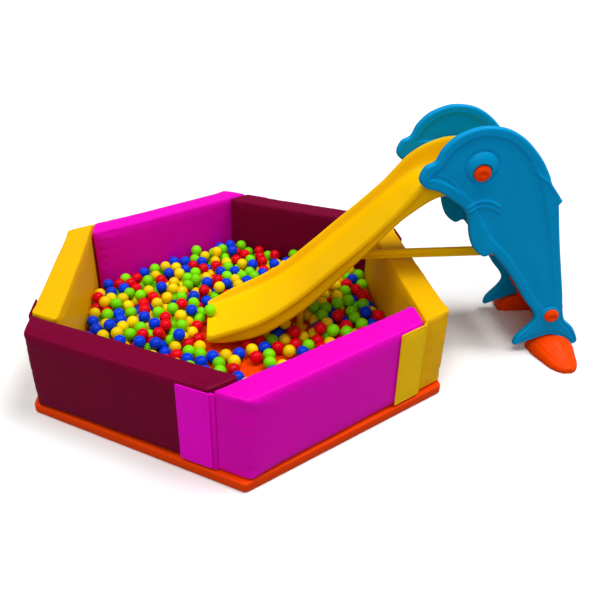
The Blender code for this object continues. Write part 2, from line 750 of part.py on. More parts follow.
def build_panel(name, side, slide):
    """A moulded dolphin panel: raised rim round the sunk outer face, eye and tail bosses, gill and mouth ridges."""
    body = prism(panel_loop(OUTLINE_SHARES), *mirrored(-PANEL_OUTER, -PANEL_INNER, side), "Y")
    rims = [edge for edge in body.edges if abs(edge.verts[0].co.y - edge.verts[1].co.y) < SEAT_GAP]
    round_edges(body, rims, PANEL_ROUND)
    panel = place(name, body, BLUE_PLASTIC, slide)

    sunk = prism(panel_loop(FACE_SHARES), *mirrored(-PANEL_OUTER - OVERRUN, -PANEL_OUTER + FACE_SINK, side), "Y")
    boolean(panel, helper(f"cut_face_{name}", sunk, slide), "DIFFERENCE")
    crescent = prism(panel_loop(FACE_SHARES), *mirrored(-PANEL_INNER - INNER_SINK, -PANEL_INNER + OVERRUN, side), "Y")
    above = DECK_HEIGHT + INNER_SINK_UP
    everything = crescent.verts[:] + crescent.edges[:] + crescent.faces[:]
    halved = bmesh.ops.bisect_plane(
        crescent, geom=everything, plane_co=(0, 0, above), plane_no=(0, 0, 1), clear_inner=True
    )
    open_edges = [item for item in halved["geom_cut"] if isinstance(item, bmesh.types.BMEdge)]
    bmesh.ops.contextual_create(crescent, geom=open_edges)
    boolean(panel, helper(f"cut_inner_{name}", crescent, slide), "DIFFERENCE")

    face = PANEL_OUTER - FACE_SINK
    eye_dome = [(0, 0), (EYE_BOSS_RADIUS, 0)]
    dome_steps = 5
    for i in range(dome_steps + 1):
        angle = pi / 2 * i / dome_steps
        eye_dome.append((EYE_BOSS_RADIUS * cos(angle), FACE_SINK / 2 + (EYE_BOSS_RISE - FACE_SINK / 2) * sin(angle)))
    boss = turned(eye_dome, 28)
    bmesh.ops.rotate(boss, verts=boss.verts, matrix=Matrix.Rotation(-side * pi / 2, 3, "X"))
    moved(boss, (EYE[0], side * EYE_BOSS_BACK, EYE[1] + EYE_BOSS_OFFSET))
    boolean(panel, helper(f"add_eye_boss_{name}", boss, slide), "UNION")
    seat = mirrored(-PANEL_OUTER - OVERRUN, -EYE_SEAT, side)
    spot_face = moved(cylinder(EYE_HEAD_RADIUS + EYE_SEAT_MARGIN, *seat, "Y"), (EYE[0], 0, EYE[1]))
    boolean(panel, helper(f"cut_eye_seat_{name}", spot_face, slide), "DIFFERENCE")
    tail_boss = cylinder(
        TAIL_BOSS_RADIUS,
        *mirrored(-PANEL_OUTER - TAIL_BOSS_RISE, -face + FACE_SINK, side),
        "Y",
        20,
    )
    moved(tail_boss, (TAIL_BOLT[0], 0, TAIL_BOLT[1]))
    boolean(panel, helper(f"add_tail_boss_{name}", tail_boss, slide), "UNION")

    for row in (0, 1):
        steps = 8
        middle = (
            NOSE_FROM_CENTRE + GILL_SHARES[0] * PANEL_LENGTH,
            PANEL_ABOVE_FLOOR + GILL_SHARES[1] * PANEL_HEIGHT - row * GILL_SPACING,
        )
        shares = [i / steps - 1 / 2 for i in range(steps + 1)]
        bow = [
            (middle[0] + share * GILL_LENGTH, side * face, middle[1] - GILL_SAG * 4 * share**2)
            for share in shares
        ]
        ridge = swept_tube(bow, GILL_RADIUS, 6)
        boolean(panel, helper(f"add_gill_{row}_{name}", ridge, slide), "UNION")
    mouth = [
        (NOSE_FROM_CENTRE + x * PANEL_LENGTH, side * PANEL_OUTER, PANEL_ABOVE_FLOOR + z * PANEL_HEIGHT)
        for x, z in MOUTH_SHARES
    ]
    boolean(panel, helper(f"cut_mouth_{name}", swept_tube(mouth, MOUTH_RADIUS, 6), slide), "DIFFERENCE")

    for label, (x, z) in (("eye", EYE), ("tail", TAIL_BOLT)):
        reach = PANEL_OUTER + OVERRUN
        bore = cylinder(BOLT_SHANK_RADIUS + BOLT_CLEARANCE, *mirrored(-reach, -PANEL_INNER + OVERRUN, side), "Y")
        moved(bore, (x, 0, z))
        boolean(panel, helper(f"cut_{label}_bore_{name}", bore, slide), "DIFFERENCE")
    return panel


def build_bolt(name, side, centre, head_radius, seat, slide):
    """A large slotted bolt. Its origin is on its own axis, and its head's back rests on the boss."""
    back = seat + SEAT_GAP
    inner = PANEL_INNER - BOLT_GRIP
    profile = [
        (0, inner),
        (BOLT_SHANK_RADIUS, inner),
        (BOLT_SHANK_RADIUS, back),
        (head_radius, back),
        (head_radius, back + HEAD_EDGE),
    ]
    steps = 4
    for i in range(1, steps + 1):
        angle = pi / 2 * i / steps
        rise = HEAD_EDGE + (HEAD_RISE - HEAD_EDGE) * sin(angle)
        profile.append((head_radius * cos(angle) if i < steps else 0, back + rise))
    bolt = turned(profile, 24)
    bmesh.ops.rotate(bolt, verts=bolt.verts, matrix=Matrix.Rotation(-side * pi / 2, 3, "X"))
    made = place(name, bolt, ORANGE_PLASTIC, slide, (centre[0], 0, centre[1]))
    depth = mirrored(-back - HEAD_RISE - OVERRUN, -back - HEAD_RISE + SLOT_DEPTH, side)
    slot = box(
        (-head_radius / 2, depth[0], -SLOT_WIDTH / 2),
        (head_radius / 2, depth[1], SLOT_WIDTH / 2),
    )
    boolean(made, helper(f"cut_slot_{name}", slot, slide, (centre[0], 0, centre[1])), "DIFFERENCE")


def chute_stations():
    """Floor places and section sizes along the chute: x, height, half width, wall height, skirt."""
    found = [(run, rise, width * CHUTE_HALF_WIDTH, wall, skirt) for run, rise, width, wall, skirt in CHUTE_SHARES]
    found += [(run, rise, INSIDE_HALF, wall, skirt) for run, rise, wall, skirt in CHUTE_TOP_SHARES]
    return [
        (
            CHUTE_END + run * CHUTE_RUN,
            CHUTE_END_HEIGHT + rise * CHUTE_RISE,
            half,
            wall * CHUTE_WALL,
            skirt * CHUTE_SKIRT,
        )
        for run, rise, half, wall, skirt in found
    ]


def chute_section(half, wall, skirt):
    """Half of the chute's section: the floor from its middle, the wall with its rim and lip, and the underside."""
    inside = half - CHUTE_WALL_THICK
    lip = max(wall - LIP_DROP, -CHUTE_FLOOR_THICK / 2)
    crown = wall - RIM_ROUND / 2
    return [
        (0, 0),
        (inside * 2 / 3, 0),
        (inside - CHUTE_WALL_THICK / 2, wall / 6),
        (inside, max(crown - RIM_ROUND, wall / 3)),
        (inside + RIM_ROUND / 2, crown),
        (half - RIM_ROUND, wall),
        (half - RIM_ROUND / 3, crown),
        (half, max(crown - RIM_ROUND, lip + RIM_ROUND / 4)),
        (half, lip),
        (half - LIP_REACH, lip - RIM_ROUND / 4),
        (half - LIP_REACH, -skirt),
        (half - CHUTE_WALL_THICK, -skirt),
        (half - CHUTE_WALL_THICK * 4 / 3, -CHUTE_FLOOR_THICK),
        (0, -CHUTE_FLOOR_THICK),
    ]


def build_chute(slide):
    """The trough, lofted along its curve, with lugs under it for the leg and for the brace bar."""
    stations = chute_stations()
    rings = []
    for i, (x, z, half, wall, skirt) in enumerate(stations):
        before, after = stations[max(i - 1, 0)], stations[min(i + 1, len(stations) - 1)]
        slope = atan2(after[1] - before[1], after[0] - before[0])
        # The level top end and the low end are cut upright.
        lean = 0 if i in (0, len(stations) - 1) else slope
        right = chute_section(half, wall, skirt)
        left = [(-across, up) for across, up in right[-2:0:-1]]
        rings.append([(x - up * sin(lean), across, z + up * cos(lean)) for across, up in right + left])
    chute = place("chute", loft(rings), YELLOW_PLASTIC, slide)

    lug = cylinder(LEG_RADIUS + LUG_WALL, leg_top() - LUG_DEPTH, DECK_HEIGHT)
    boolean(chute, helper("add_leg_lug", under_floor(lug, LEG_X), slide, (LEG_X, 0, 0)), "UNION")
    leg_bore = cylinder(LEG_RADIUS + SEAT_GAP, 0, leg_top() + SEAT_GAP)
    boolean(chute, helper("cut_leg_lug", leg_bore, slide, (LEG_X, 0, 0)), "DIFFERENCE")

    start = bar_start()
    half_wide, half_tall = BAR_WIDE / 2 + LUG_WALL, BAR_TALL / 2 + LUG_WALL
    bar_lug = box(
        (start - LUG_WALL, -half_wide, BAR_HEIGHT - half_tall),
        (start + 2 * LUG_DEPTH, half_wide, DECK_HEIGHT),
    )
    boolean(chute, helper("add_bar_lug", under_floor(bar_lug, 0), slide), "UNION")
    bar_bore = bar_section(SEAT_GAP, start - SEAT_GAP, start + LUG_DEPTH * 3)
    moved(bar_bore, (0, 0, BAR_HEIGHT))
    boolean(chute, helper("cut_bar_lug", bar_bore, slide), "DIFFERENCE")

    for side in (-1, 1):
        depth = mirrored(-PANEL_INNER - OVERRUN, -PANEL_INNER + BOLT_GRIP + SEAT_GAP, side)
        bore = moved(cylinder(BOLT_SHANK_RADIUS + BOLT_CLEARANCE, *depth, "Y"), (EYE[0], 0, EYE[1]))
        boolean(chute, helper(f"cut_chute_bore_{side}", bore, slide), "DIFFERENCE")


def under_floor(lug, at_x):
    """The lug with its top brought down to the middle of the chute's floor, all along the slope."""
    for vert in lug.verts:
        if vert.co.z > DECK_HEIGHT - SEAT_GAP:
            vert.co.z = chute_floor(at_x + vert.co.x) - CHUTE_FLOOR_THICK / 2
    return lug


def chute_floor(x):
    """Height of the chute's floor at a place along it."""
    stations = chute_stations()
    for first, second in zip(stations, stations[1:]):
        if first[0] <= x <= second[0]:
            share = (x - first[0]) / (second[0] - first[0])
            return first[1] + share * (second[1] - first[1])
    return DECK_HEIGHT


def leg_top():
    return chute_floor(LEG_X) - CHUTE_FLOOR_THICK * 2 - LUG_DEPTH / 2


def bar_start():
    """Where the chute's floor has risen far enough above the brace bar for its lug."""
    wanted = BAR_HEIGHT + BAR_BELOW_FLOOR
    stations = chute_stations()
    for first, second in zip(stations, stations[1:]):
        if first[1] <= wanted < second[1]:
            share = (wanted - first[1]) / (second[1] - first[1])
            return first[0] + share * (second[0] - first[0])
    return LEG_X


def build_leg(slide):
    """A round leg from the lug under the chute down through the balls to its foot on the mat."""
    bottom = MAT_THICK + SEAT_GAP
    profile = [
        (0, bottom),
        (LEG_FOOT_RADIUS, bottom),
        (LEG_FOOT_RADIUS, bottom + LEG_FOOT_THICK / 2),
        (LEG_RADIUS, bottom + LEG_FOOT_THICK),
        (LEG_RADIUS, leg_top()),
        (0, leg_top()),
    ]
    place("chute_leg", turned(profile, 20), YELLOW_PLASTIC, slide, (LEG_X, 0, 0))


def bar_section(grow, start, end):
    """The brace bar's section, with a ridge along each side, carried along X. It grows by a clearance."""
    wide, tall, ridge = BAR_WIDE / 2 + grow, BAR_TALL / 2 + grow, BAR_RIDGE
    half = [(wide - ridge, -tall), (wide - ridge, -tall / 3), (wide, 0), (wide - ridge, tall / 3)]
    half.append((wide - ridge, tall))
    outline = half + [(-y, z) for y, z in reversed(half)]
    return loft([[(x, y, z) for y, z in outline] for x in (start, end)])


def build_brace(slide):
    """The bar that ties the chute to the cross tube between the panels."""
    tube_x = NOSE_FROM_CENTRE + CROSS_TUBE_SHARE * PANEL_LENGTH
    start = bar_start()
    end = tube_x - CROSS_TUBE_RADIUS + BAR_SOCKET - SEAT_GAP
    place("brace_bar", bar_section(0, start, end), YELLOW_PLASTIC, slide, (0, 0, BAR_HEIGHT))

    tube = cylinder(CROSS_TUBE_RADIUS, -INSIDE_HALF, INSIDE_HALF, "Y", 20)
    cross = place("cross_tube", tube, YELLOW_PLASTIC, slide, (tube_x, 0, BAR_HEIGHT))
    bore = cylinder(CROSS_TUBE_BORE, -PANEL_INNER - OVERRUN, PANEL_INNER + OVERRUN, "Y", 16)
    boolean(cross, helper("cut_cross_bore", bore, slide, (tube_x, 0, BAR_HEIGHT)), "DIFFERENCE")
    seat = moved(bar_section(SEAT_GAP, start, end + SEAT_GAP), (0, 0, BAR_HEIGHT))
    boolean(cross, helper("cut_cross_seat", seat, slide), "DIFFERENCE")


def build_deck(slide):
    """The level place to sit between the panels, behind the chute's top end, with a lip under each edge."""
    start = CHUTE_TOP + JOINT_GAP / 4
    low = (start, -INSIDE_HALF, DECK_HEIGHT - DECK_THICK)
    high = (start + DECK_LENGTH, INSIDE_HALF, DECK_HEIGHT)
    deck = place("deck", rounded_box(low, high, STEP_ROUND), YELLOW_PLASTIC, slide)
    hollow_under(deck, "deck", low, high, slide)


def hollow_under(target, name, low, high, slide):
    """Cuts the open underside of a moulded tread, leaving its walls and its top."""
    cutter = box(
        (low[0] + STEP_WALL, low[1] + STEP_WALL, low[2] - OVERRUN),
        (high[0] - STEP_WALL, high[1] - STEP_WALL, high[2] - STEP_WALL),
    )
    boolean(target, helper(f"cut_under_{name}", cutter, slide), "DIFFERENCE")


def build_step(name, shares, slide):
    start = NOSE_FROM_CENTRE + shares[0] * PANEL_LENGTH - STEP_DEPTH / 2
    height = shares[1] * DECK_HEIGHT
    low = (start, -INSIDE_HALF, height - STEP_THICK)
    high = (start + STEP_DEPTH, INSIDE_HALF, height)
    step = place(name, rounded_box(low, high, STEP_ROUND), ORANGE_PLASTIC, slide)
    hollow_under(step, name, low, high, slide)


def foot_ring(y, width, height):
    """A section of a foot: flat on the floor, upright edges, a rounded top."""
    middle = NOSE_FROM_CENTRE + FOOT_MIDDLE_SHARE * PANEL_LENGTH
    steps = 8
    ring = [(middle - width / 2, y, 0)]
    for i in range(steps + 1):
        angle = pi * i / steps
        edge = min(FOOT_EDGE, height / 2)
        ring.append((middle - width / 2 * cos(angle), y, edge + (height - edge) * sin(angle)))
    ring.append((middle + width / 2, y, 0))
    return ring


def build_base(slide):
    """The first step: a riser and a tread between two cheeks, and a tongue-shaped foot out to each side.

    Each foot passes under its panel's tail, whose arch rests on it.
    """
    tread_low = TREAD_HEIGHT - TREAD_THICK
    tread = rounded_box(
        (TREAD_FRONT, -INSIDE_HALF, tread_low),
        (TREAD_BACK, INSIDE_HALF, TREAD_HEIGHT),
        STEP_ROUND,
    )
    base = place("base_step", tread, ORANGE_PLASTIC, slide)
    # The riser leans forward from its foot to the tread's back edge.
    foot_back = NOSE_FROM_CENTRE + RISER_FOOT_SHARE * PANEL_LENGTH
    joined = tread_low + STEP_ROUND
    riser_outline = (
        (foot_back - RISER_THICK, 0),
        (foot_back, 0),
        (TREAD_BACK - STEP_ROUND, joined),
        (TREAD_BACK - STEP_ROUND - RISER_THICK, joined),
    )
    riser = prism(riser_outline, -INSIDE_HALF, INSIDE_HALF, "Y")
    boolean(base, helper("add_riser", riser, slide), "UNION")
    depth = TREAD_BACK - TREAD_FRONT
    cheek_outline = [(TREAD_BACK - share * depth, up * joined) for share, up in CHEEK_SHARES]
    cheek_outline += [
        (TREAD_BACK - depth + STEP_ROUND, joined),
        (TREAD_BACK - 2 * STEP_ROUND, joined),
        (foot_back - STEP_ROUND, 0),
    ]
    for side in (-1, 1):
        cheek = prism(cheek_outline, *mirrored(-INSIDE_HALF, -INSIDE_HALF + CHEEK_THICK, side), "Y")
        boolean(base, helper(f"add_cheek_{side}", cheek, slide), "UNION")
        inner = INSIDE_HALF - CHEEK_THICK / 2
        rings = [
            foot_ring(side * (inner + reach * (FOOT_REACH - inner)), width * FOOT_WIDTH, height * FOOT_HEIGHT)
            for reach, width, height in FOOT_SHARES
        ]
        boolean(base, helper(f"add_foot_{side}", loft(rings), slide), "UNION")
    for side in (-1, 1):
        grown = inward(panel_loop(OUTLINE_SHARES), -SEAT_GAP)
        reach = mirrored(-PANEL_OUTER - SEAT_GAP, -PANEL_INNER + SEAT_GAP / 2, side)
        boolean(base, helper(f"cut_tail_seat_{side}", prism(grown, *reach, "Y"), slide), "DIFFERENCE")
        depth = mirrored(-PANEL_INNER - OVERRUN, -PANEL_INNER + BOLT_GRIP + SEAT_GAP, side)
        bore = cylinder(BOLT_SHANK_RADIUS + BOLT_CLEARANCE, *depth, "Y")
        moved(bore, (TAIL_BOLT[0], 0, TAIL_BOLT[1]))
        boolean(base, helper(f"cut_base_bore_{side}", bore, slide), "DIFFERENCE")


def build_slide():
    slide = bpy.data.objects.new("slide_frame", None)
    bpy.context.scene.collection.objects.link(slide)
    slide.rotation_euler.z = SLIDE_HEADING
    for side, place_name in ((-1, "near"), (1, "far")):
        build_panel(f"side_panel_{place_name}", side, slide)
        build_bolt(f"eye_bolt_{place_name}", side, EYE, EYE_HEAD_RADIUS, EYE_SEAT, slide)
        build_bolt(
            f"tail_bolt_{place_name}", side, TAIL_BOLT, TAIL_HEAD_RADIUS, PANEL_OUTER + TAIL_BOSS_RISE, slide
        )
    build_chute(slide)
    build_leg(slide)
    build_brace(slide)
    build_deck(slide)
    build_step("step_low", LOW_STEP_SHARES, slide)
    build_step("step_high", HIGH_STEP_SHARES, slide)
    build_base(slide)
    return slide


def main():
    clear_scene()
    build_mat()
    for k in range(SIDES):
        build_block(k)
        build_flap(k)
    slide = build_slide()
    build_balls(slide)
    bpy.context.view_layer.update()


main()
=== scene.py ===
"""Ball pit with a dolphin slide: the visible pieces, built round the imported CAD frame.

Six vinyl-covered foam blocks stand in a hexagon on a foam mat, with a flap over each corner and loose balls
inside. A moulded slide stands behind the right block and its chute ends among the balls. Lengths are metres.
"""

from __future__ import annotations

import logging
import math
import random
from collections.abc import Callable, Iterable, Sequence
from dataclasses import dataclass, field
from enum import Enum

import bmesh
import bpy
import numpy as np
from mathutils import Matrix, Vector, noise
from mathutils.bvhtree import BVHTree


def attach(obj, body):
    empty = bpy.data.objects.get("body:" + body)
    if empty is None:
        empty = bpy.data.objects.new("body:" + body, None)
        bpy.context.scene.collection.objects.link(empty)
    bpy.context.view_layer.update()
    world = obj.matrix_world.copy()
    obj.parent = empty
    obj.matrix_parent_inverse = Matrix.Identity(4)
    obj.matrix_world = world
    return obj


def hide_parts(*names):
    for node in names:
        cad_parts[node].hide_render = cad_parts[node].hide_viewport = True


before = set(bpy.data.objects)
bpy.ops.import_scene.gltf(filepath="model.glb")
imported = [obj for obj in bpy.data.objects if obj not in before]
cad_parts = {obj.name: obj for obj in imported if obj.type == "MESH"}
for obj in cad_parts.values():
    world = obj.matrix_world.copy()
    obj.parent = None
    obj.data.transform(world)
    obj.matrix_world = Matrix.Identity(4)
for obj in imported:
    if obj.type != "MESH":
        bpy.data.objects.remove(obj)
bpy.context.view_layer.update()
LOG = logging.getLogger("ball_pit")

Pair = tuple[float, float]
Point = tuple[float, float, float]
Colour = tuple[float, float, float]
Moulding = tuple[float, float, float]
EditMesh = bmesh.types.BMesh

# Pit sizes
ACROSS_FLATS = 2.0
SIDE = ACROSS_FLATS / math.sqrt(3)
TURN = math.radians(60)
FIRST_CORNER = math.radians(210)
WALL_THICK = 0.15
WALL_BOTTOM = 0.0503
WALL_TOP = 0.4803
WALL_ROUND = 0.012
FLAP_TOP = 0.4635
MAT_THICK = 0.05
MAT_BOTTOM = 0.0023
SKEW = WALL_THICK * math.tan(TURN / 2)
END_LENGTH = WALL_THICK / math.sin(TURN)
BLOCK_SHORT = SIDE - END_LENGTH
INNER_APOTHEM = ACROSS_FLATS / 2 - WALL_THICK
BALL_RADIUS = 0.035
BALL_REST = MAT_THICK + BALL_RADIUS + 0.0006
BALL_ROOM = INNER_APOTHEM - 0.008 - BALL_RADIUS

# Slide sizes, in its own frame: X back along the slide from the pit's centre, Y across it
SLIDE_FRAME = Matrix.Rotation(math.radians(-2.1), 4, "Z")
NOSE_X = 0.897
PANEL_LENGTH = 0.974
PANEL_HEIGHT = 1.225
PANEL_LOW = 0.034
PANEL_INNER = 0.199
PANEL_OUTER = 0.239
INSIDE_HALF = 0.1987
EYE = (1.188, 1.041)
TAIL_BOLT = (1.684, 0.234)
DECK_HEIGHT = 0.94
CHUTE_TOP = 1.27
CHUTE_RUN = 1.427
CHUTE_END = CHUTE_TOP - CHUTE_RUN
CHUTE_LOW = 0.12
LEG_X = CHUTE_END + 0.37141 * CHUTE_RUN
BAR_START = 0.608
BAR_HEIGHT = 0.51
BAR_SIZE = (0.034, 0.048)
TUBE_X = NOSE_X + 0.58008 * PANEL_LENGTH


# ---------------------------------------------------------------------------------------------------------------
# Shaders


@dataclass(frozen=True)
class Value:
    """One output of a shader tree, usable in sums as a number would be."""

    tree: ShaderTree
    socket: bpy.types.NodeSocket

    def __add__(self, other: Value | float) -> Value:
        """The sum."""
        return self.tree.math("ADD", self, other)

    __radd__ = __add__

    def __mul__(self, other: Value | float) -> Value:
        """The product."""
        return self.tree.math("MULTIPLY", self, other)

    __rmul__ = __mul__

    def __sub__(self, other: Value | float) -> Value:
        """The difference."""
        return self.tree.math("SUBTRACT", self, other)

    def __rsub__(self, other: float) -> Value:
        """The difference from a number."""
        return self.tree.math("SUBTRACT", other, self)


class ShaderTree:
    """A material's or world's node tree, written as sums and named nodes."""

    def __init__(self, owner: bpy.types.Material | bpy.types.World) -> None:
        """Clears the owner's tree."""
        owner.use_nodes = True
        self.tree = owner.node_tree
        self.tree.nodes.clear()

    def node(self, kind: str, output: int | str = 0, inputs: dict | None = None, **settings: object) -> Value:
        """Adds a node.

        Args:
            kind: The node's type without the ShaderNode prefix.
            output: Which of its outputs is wanted.
            inputs: Values or other outputs by input name or number.
            **settings: Properties of the node.

        Returns:
            The wanted output.
        """
        made = self.tree.nodes.new(f"ShaderNode{kind}")
        for key, setting in settings.items():
            setattr(made, key, setting)
        for key, value in (inputs or {}).items():
            self.feed(made.inputs[key], value)
        sockets = made.outputs
        return Value(self, sockets[output]) if len(sockets) else Value(self, made.inputs[0])

    def feed(self, socket: bpy.types.NodeSocket, value: Value | float | Sequence[float]) -> None:
        """Sets an input.

        Args:
            socket: The input.
            value: What is linked to it, or its constant.
        """
        if isinstance(value, Value):
            self.tree.links.new(value.socket, socket)
        elif isinstance(value, (tuple, list)) and socket.type == "RGBA" and len(value) == 3:
            socket.default_value = (*value, 1.0)
        else:
            socket.default_value = value

    def math(self, operation: str, first: Value | float, second: Value | float) -> Value:
        """One math node."""
        return self.node("Math", inputs={0: first, 1: second}, operation=operation)

    def noise(self, scale: float, detail: float = 2.0) -> Value:
        """Noise over the piece's own coordinates, as a value from 0 to 1."""
        place = self.node("TexCoord", "Object")
        return self.node("TexNoise", "Fac", {"Vector": place, "Scale": scale, "Detail": detail, "Roughness": 0.5})

    def tone(self) -> Value:
        """The value that give_tone() stored on the piece: a random tone on the balls, painted light on the flaps."""
        return self.node("Attribute", "Fac", attribute_name="tone")

    def blend(self, factor: Value | float, first: Colour, second: Colour) -> Value:
        """A colour between two colours."""
        return self.node("Mix", 2, {0: factor, 6: (*first, 1.0), 7: (*second, 1.0)}, data_type="RGBA")

    def bump(self, height: Value, depth: float, strength: float) -> Value:
        """A normal disturbed by a height."""
        return self.node("Bump", inputs={"Height": height, "Distance": depth, "Strength": strength})

    def surface(self, **inputs: object) -> None:
        """Ends the tree in one Principled surface whose inputs are given by name, with _ for a space."""
        named = {key.replace("_", " "): value for key, value in inputs.items()}
        shader = self.node("BsdfPrincipled", inputs=named)
        self.node("OutputMaterial", inputs={"Surface": shader})


def toned(colour: Colour, by: float) -> Colour:
    """The colour made lighter or darker by a factor."""
    return tuple(min(1.0, part * by) for part in colour)


@dataclass(frozen=True)
class Finish:
    """What every finish has: a name, the colour and the record's material slot that it stands for."""

    name: str
    colour: Colour
    slot: str

    def material(self) -> bpy.types.Material:
        """The material, made once.

        Returns:
            The material.
        """
        found = bpy.data.materials.get(self.name)
        if found is None:
            found = bpy.data.materials.new(self.name)
            self.describe(ShaderTree(found))
        return found

    def shades(self, tree: ShaderTree, factor: Value, dark: float, light: float) -> Value:
        """The finish's colour between a darker and a lighter tone of it."""
        return tree.blend(factor, toned(self.colour, dark), toned(self.colour, light))

    def describe(self, tree: ShaderTree) -> None:
        """Fills the tree. Each kind of finish has its own."""
        raise NotImplementedError


@dataclass(frozen=True)
class VinylFinish(Finish):
    """Coated fabric: a fine pebbled grain, faint handling marks and a dull sheen."""

    roughness: float = 0.46
    specular: float = 0.06
    grain: float = 420.0

    def describe(self, tree: ShaderTree) -> None:
        """Fills the tree."""
        marks = tree.noise(5.0, 3.0)
        place = tree.node("TexCoord", "Object")
        pebbles = tree.node("TexVoronoi", "Distance", {"Vector": place, "Scale": self.grain}, feature="SMOOTH_F1")
        height = pebbles * 0.6 + tree.noise(38.0, 3.0) * 0.8
        # The stored value lifts the colour: a random tone on balls, painted light on the flaps
        tree.surface(
            Base_Color=self.shades(tree, marks * 0.35 + tree.tone() * 0.65, 0.95, 1.45),
            Roughness=self.roughness + (marks - 0.5) * 0.16,
            Specular_IOR_Level=self.specular,
            Normal=tree.bump(height, 0.0006, 0.35),
        )


@dataclass(frozen=True)
class MouldedFinish(Finish):
    """Blow-moulded plastic: a fine stipple from the mould, soft highlights and a little cloudiness."""

    roughness: float = 0.36
    specular: float = 0.05
    stipple: float = 260.0

    def describe(self, tree: ShaderTree) -> None:
        """Fills the tree."""
        cloud = tree.noise(7.0)
        tree.surface(
            Base_Color=self.shades(tree, cloud, 0.95, 1.04),
            Roughness=self.roughness + (cloud - 0.5) * 0.12,
            Specular_IOR_Level=self.specular,
            Normal=tree.bump(tree.noise(self.stipple), 0.0004, 0.25),
        )


@dataclass(frozen=True)
class BallFinish(Finish):
    """Thin blown plastic: smooth, each ball a slightly different tone."""

    roughness: float = 0.28
    specular: float = 0.12

    def describe(self, tree: ShaderTree) -> None:
        """Fills the tree."""
        colour = self.shades(tree, tree.tone(), 0.82, 1.08)
        tree.surface(Base_Color=colour, Roughness=self.roughness, Specular_IOR_Level=self.specular)


@dataclass(frozen=True)
class TapeFinish(Finish):
    """Hook, loop and zip tape: dull, with a woven nap."""

    def describe(self, tree: ShaderTree) -> None:
        """Fills the tree."""
        colour = self.shades(tree, tree.noise(600.0), 0.6, 1.4)
        tree.surface(Base_Color=colour, Roughness=0.95, Normal=tree.bump(tree.noise(900.0), 0.0005, 0.6))


class Finishes(Enum):
    """Every finish on the object."""

    MAGENTA = VinylFinish("coated_magenta", (0.8, 0.0, 0.49), "vinyl_magenta")
    MAROON = VinylFinish("coated_maroon", (0.17, 0.0, 0.026), "vinyl_maroon")
    YELLOW = VinylFinish("coated_yellow", (0.88, 0.44, 0.0), "vinyl_yellow")
    ORANGE = VinylFinish("coated_orange", (0.85, 0.055, 0.0), "vinyl_orange")
    BLUE = MouldedFinish("moulded_blue", (0.0, 0.33, 0.7), "plastic_blue")
    CHUTE = MouldedFinish("moulded_yellow", (1.0, 0.56, 0.0), "plastic_yellow")
    BASE = MouldedFinish("moulded_orange", (0.96, 0.06, 0.0), "plastic_orange")
    BALL_RED = BallFinish("ball_red", (0.8, 0.0, 0.008), "play_balls")
    BALL_YELLOW = BallFinish("ball_yellow", (1.0, 0.68, 0.0), "play_balls")
    BALL_LIME = BallFinish("ball_lime", (0.21, 0.8, 0.0), "play_balls")
    BALL_BLUE = BallFinish("ball_blue", (0.0, 0.045, 0.8), "play_balls")
    TAPE = TapeFinish("tape_black", (0.02, 0.02, 0.02), "tape")


# ---------------------------------------------------------------------------------------------------------------
# Meshes


def mesh_of(name: str, mesh_edit: EditMesh) -> bpy.types.Mesh:
    """The edit mesh as a mesh, with the edit mesh freed.

    Args:
        name: Name of the mesh.
        mesh_edit: The shape, which is freed.

    Returns:
        The mesh.
    """
    mesh = bpy.data.meshes.new(name)
    mesh_edit.to_mesh(mesh)
    mesh_edit.free()
    return mesh


def linked(name: str, data: bpy.types.ID) -> bpy.types.Object:
    """A new object in the scene that shows some data."""
    made = bpy.data.objects.new(name, data)
    bpy.context.scene.collection.objects.link(made)
    return made


def piece(
    name: str,
    mesh_edit: EditMesh,
    finish: Finishes,
    body: str,
    place: Matrix | None = None,
    replaces: Sequence[str] = (),
) -> bpy.types.Object:
    """Turns an edit mesh into a shown piece of the object.

    Args:
        name: The piece's name.
        mesh_edit: Its shape, which is freed.
        finish: Its finish.
        body: The CAD body that it moves with.
        place: Where its own frame is.
        replaces: CAD nodes that it stands for.

    Returns:
        The new object.
    """
    if place is not None:
        bmesh.ops.transform(mesh_edit, matrix=place, verts=mesh_edit.verts)
    bmesh.ops.recalc_face_normals(mesh_edit, faces=mesh_edit.faces)
    mesh = mesh_of(name, mesh_edit)
    mesh.polygons.foreach_set("use_smooth", [True] * len(mesh.polygons))
    made = linked(name, mesh)
    mesh.materials.append(finish.value.material())
    if replaces:
        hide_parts(*replaces)
    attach(made, body)
    return made


def slide_piece(name: str, mesh_edit: EditMesh, finish: Finishes, *replaces: str, body: str = "slide") -> None:
    """A piece that is given in the slide's own frame."""
    piece(name, mesh_edit, finish, body, SLIDE_FRAME, replaces)


def give_tone(made: bpy.types.Object, tones: Sequence[float]) -> None:
    """Stores how light the finish is at each vertex of a piece, from 0 to 1: a random tone on the balls, painted
    light on the flaps.
    """
    tone = made.data.attributes.new("tone", "FLOAT", "POINT")
    tone.data.foreach_set("value", tones)


def swept(rows: np.ndarray, capped: bool = True) -> EditMesh:
    """A grid warped so that each row is one closed section of a sweep.

    Args:
        rows: Array of sections, points in a section, and 3 coordinates.
        capped: Whether the first and last sections are filled.

    Returns:
        The edit mesh.
    """
    count, width = rows.shape[:2]
    mesh_edit = bmesh.new()
    bmesh.ops.create_grid(mesh_edit, x_segments=width, y_segments=count - 1, size=1)
    mesh_edit.verts.ensure_lookup_table()
    for index, vert in enumerate(mesh_edit.verts):
        row, column = divmod(index, width + 1)
        vert.co = rows[row, column % width]
    bmesh.ops.remove_doubles(mesh_edit, verts=mesh_edit.verts, dist=1e-6)
    if capped:
        open_edges = [edge for edge in mesh_edit.edges if edge.is_boundary]
        bmesh.ops.holes_fill(mesh_edit, edges=open_edges, sides=0)
    return mesh_edit


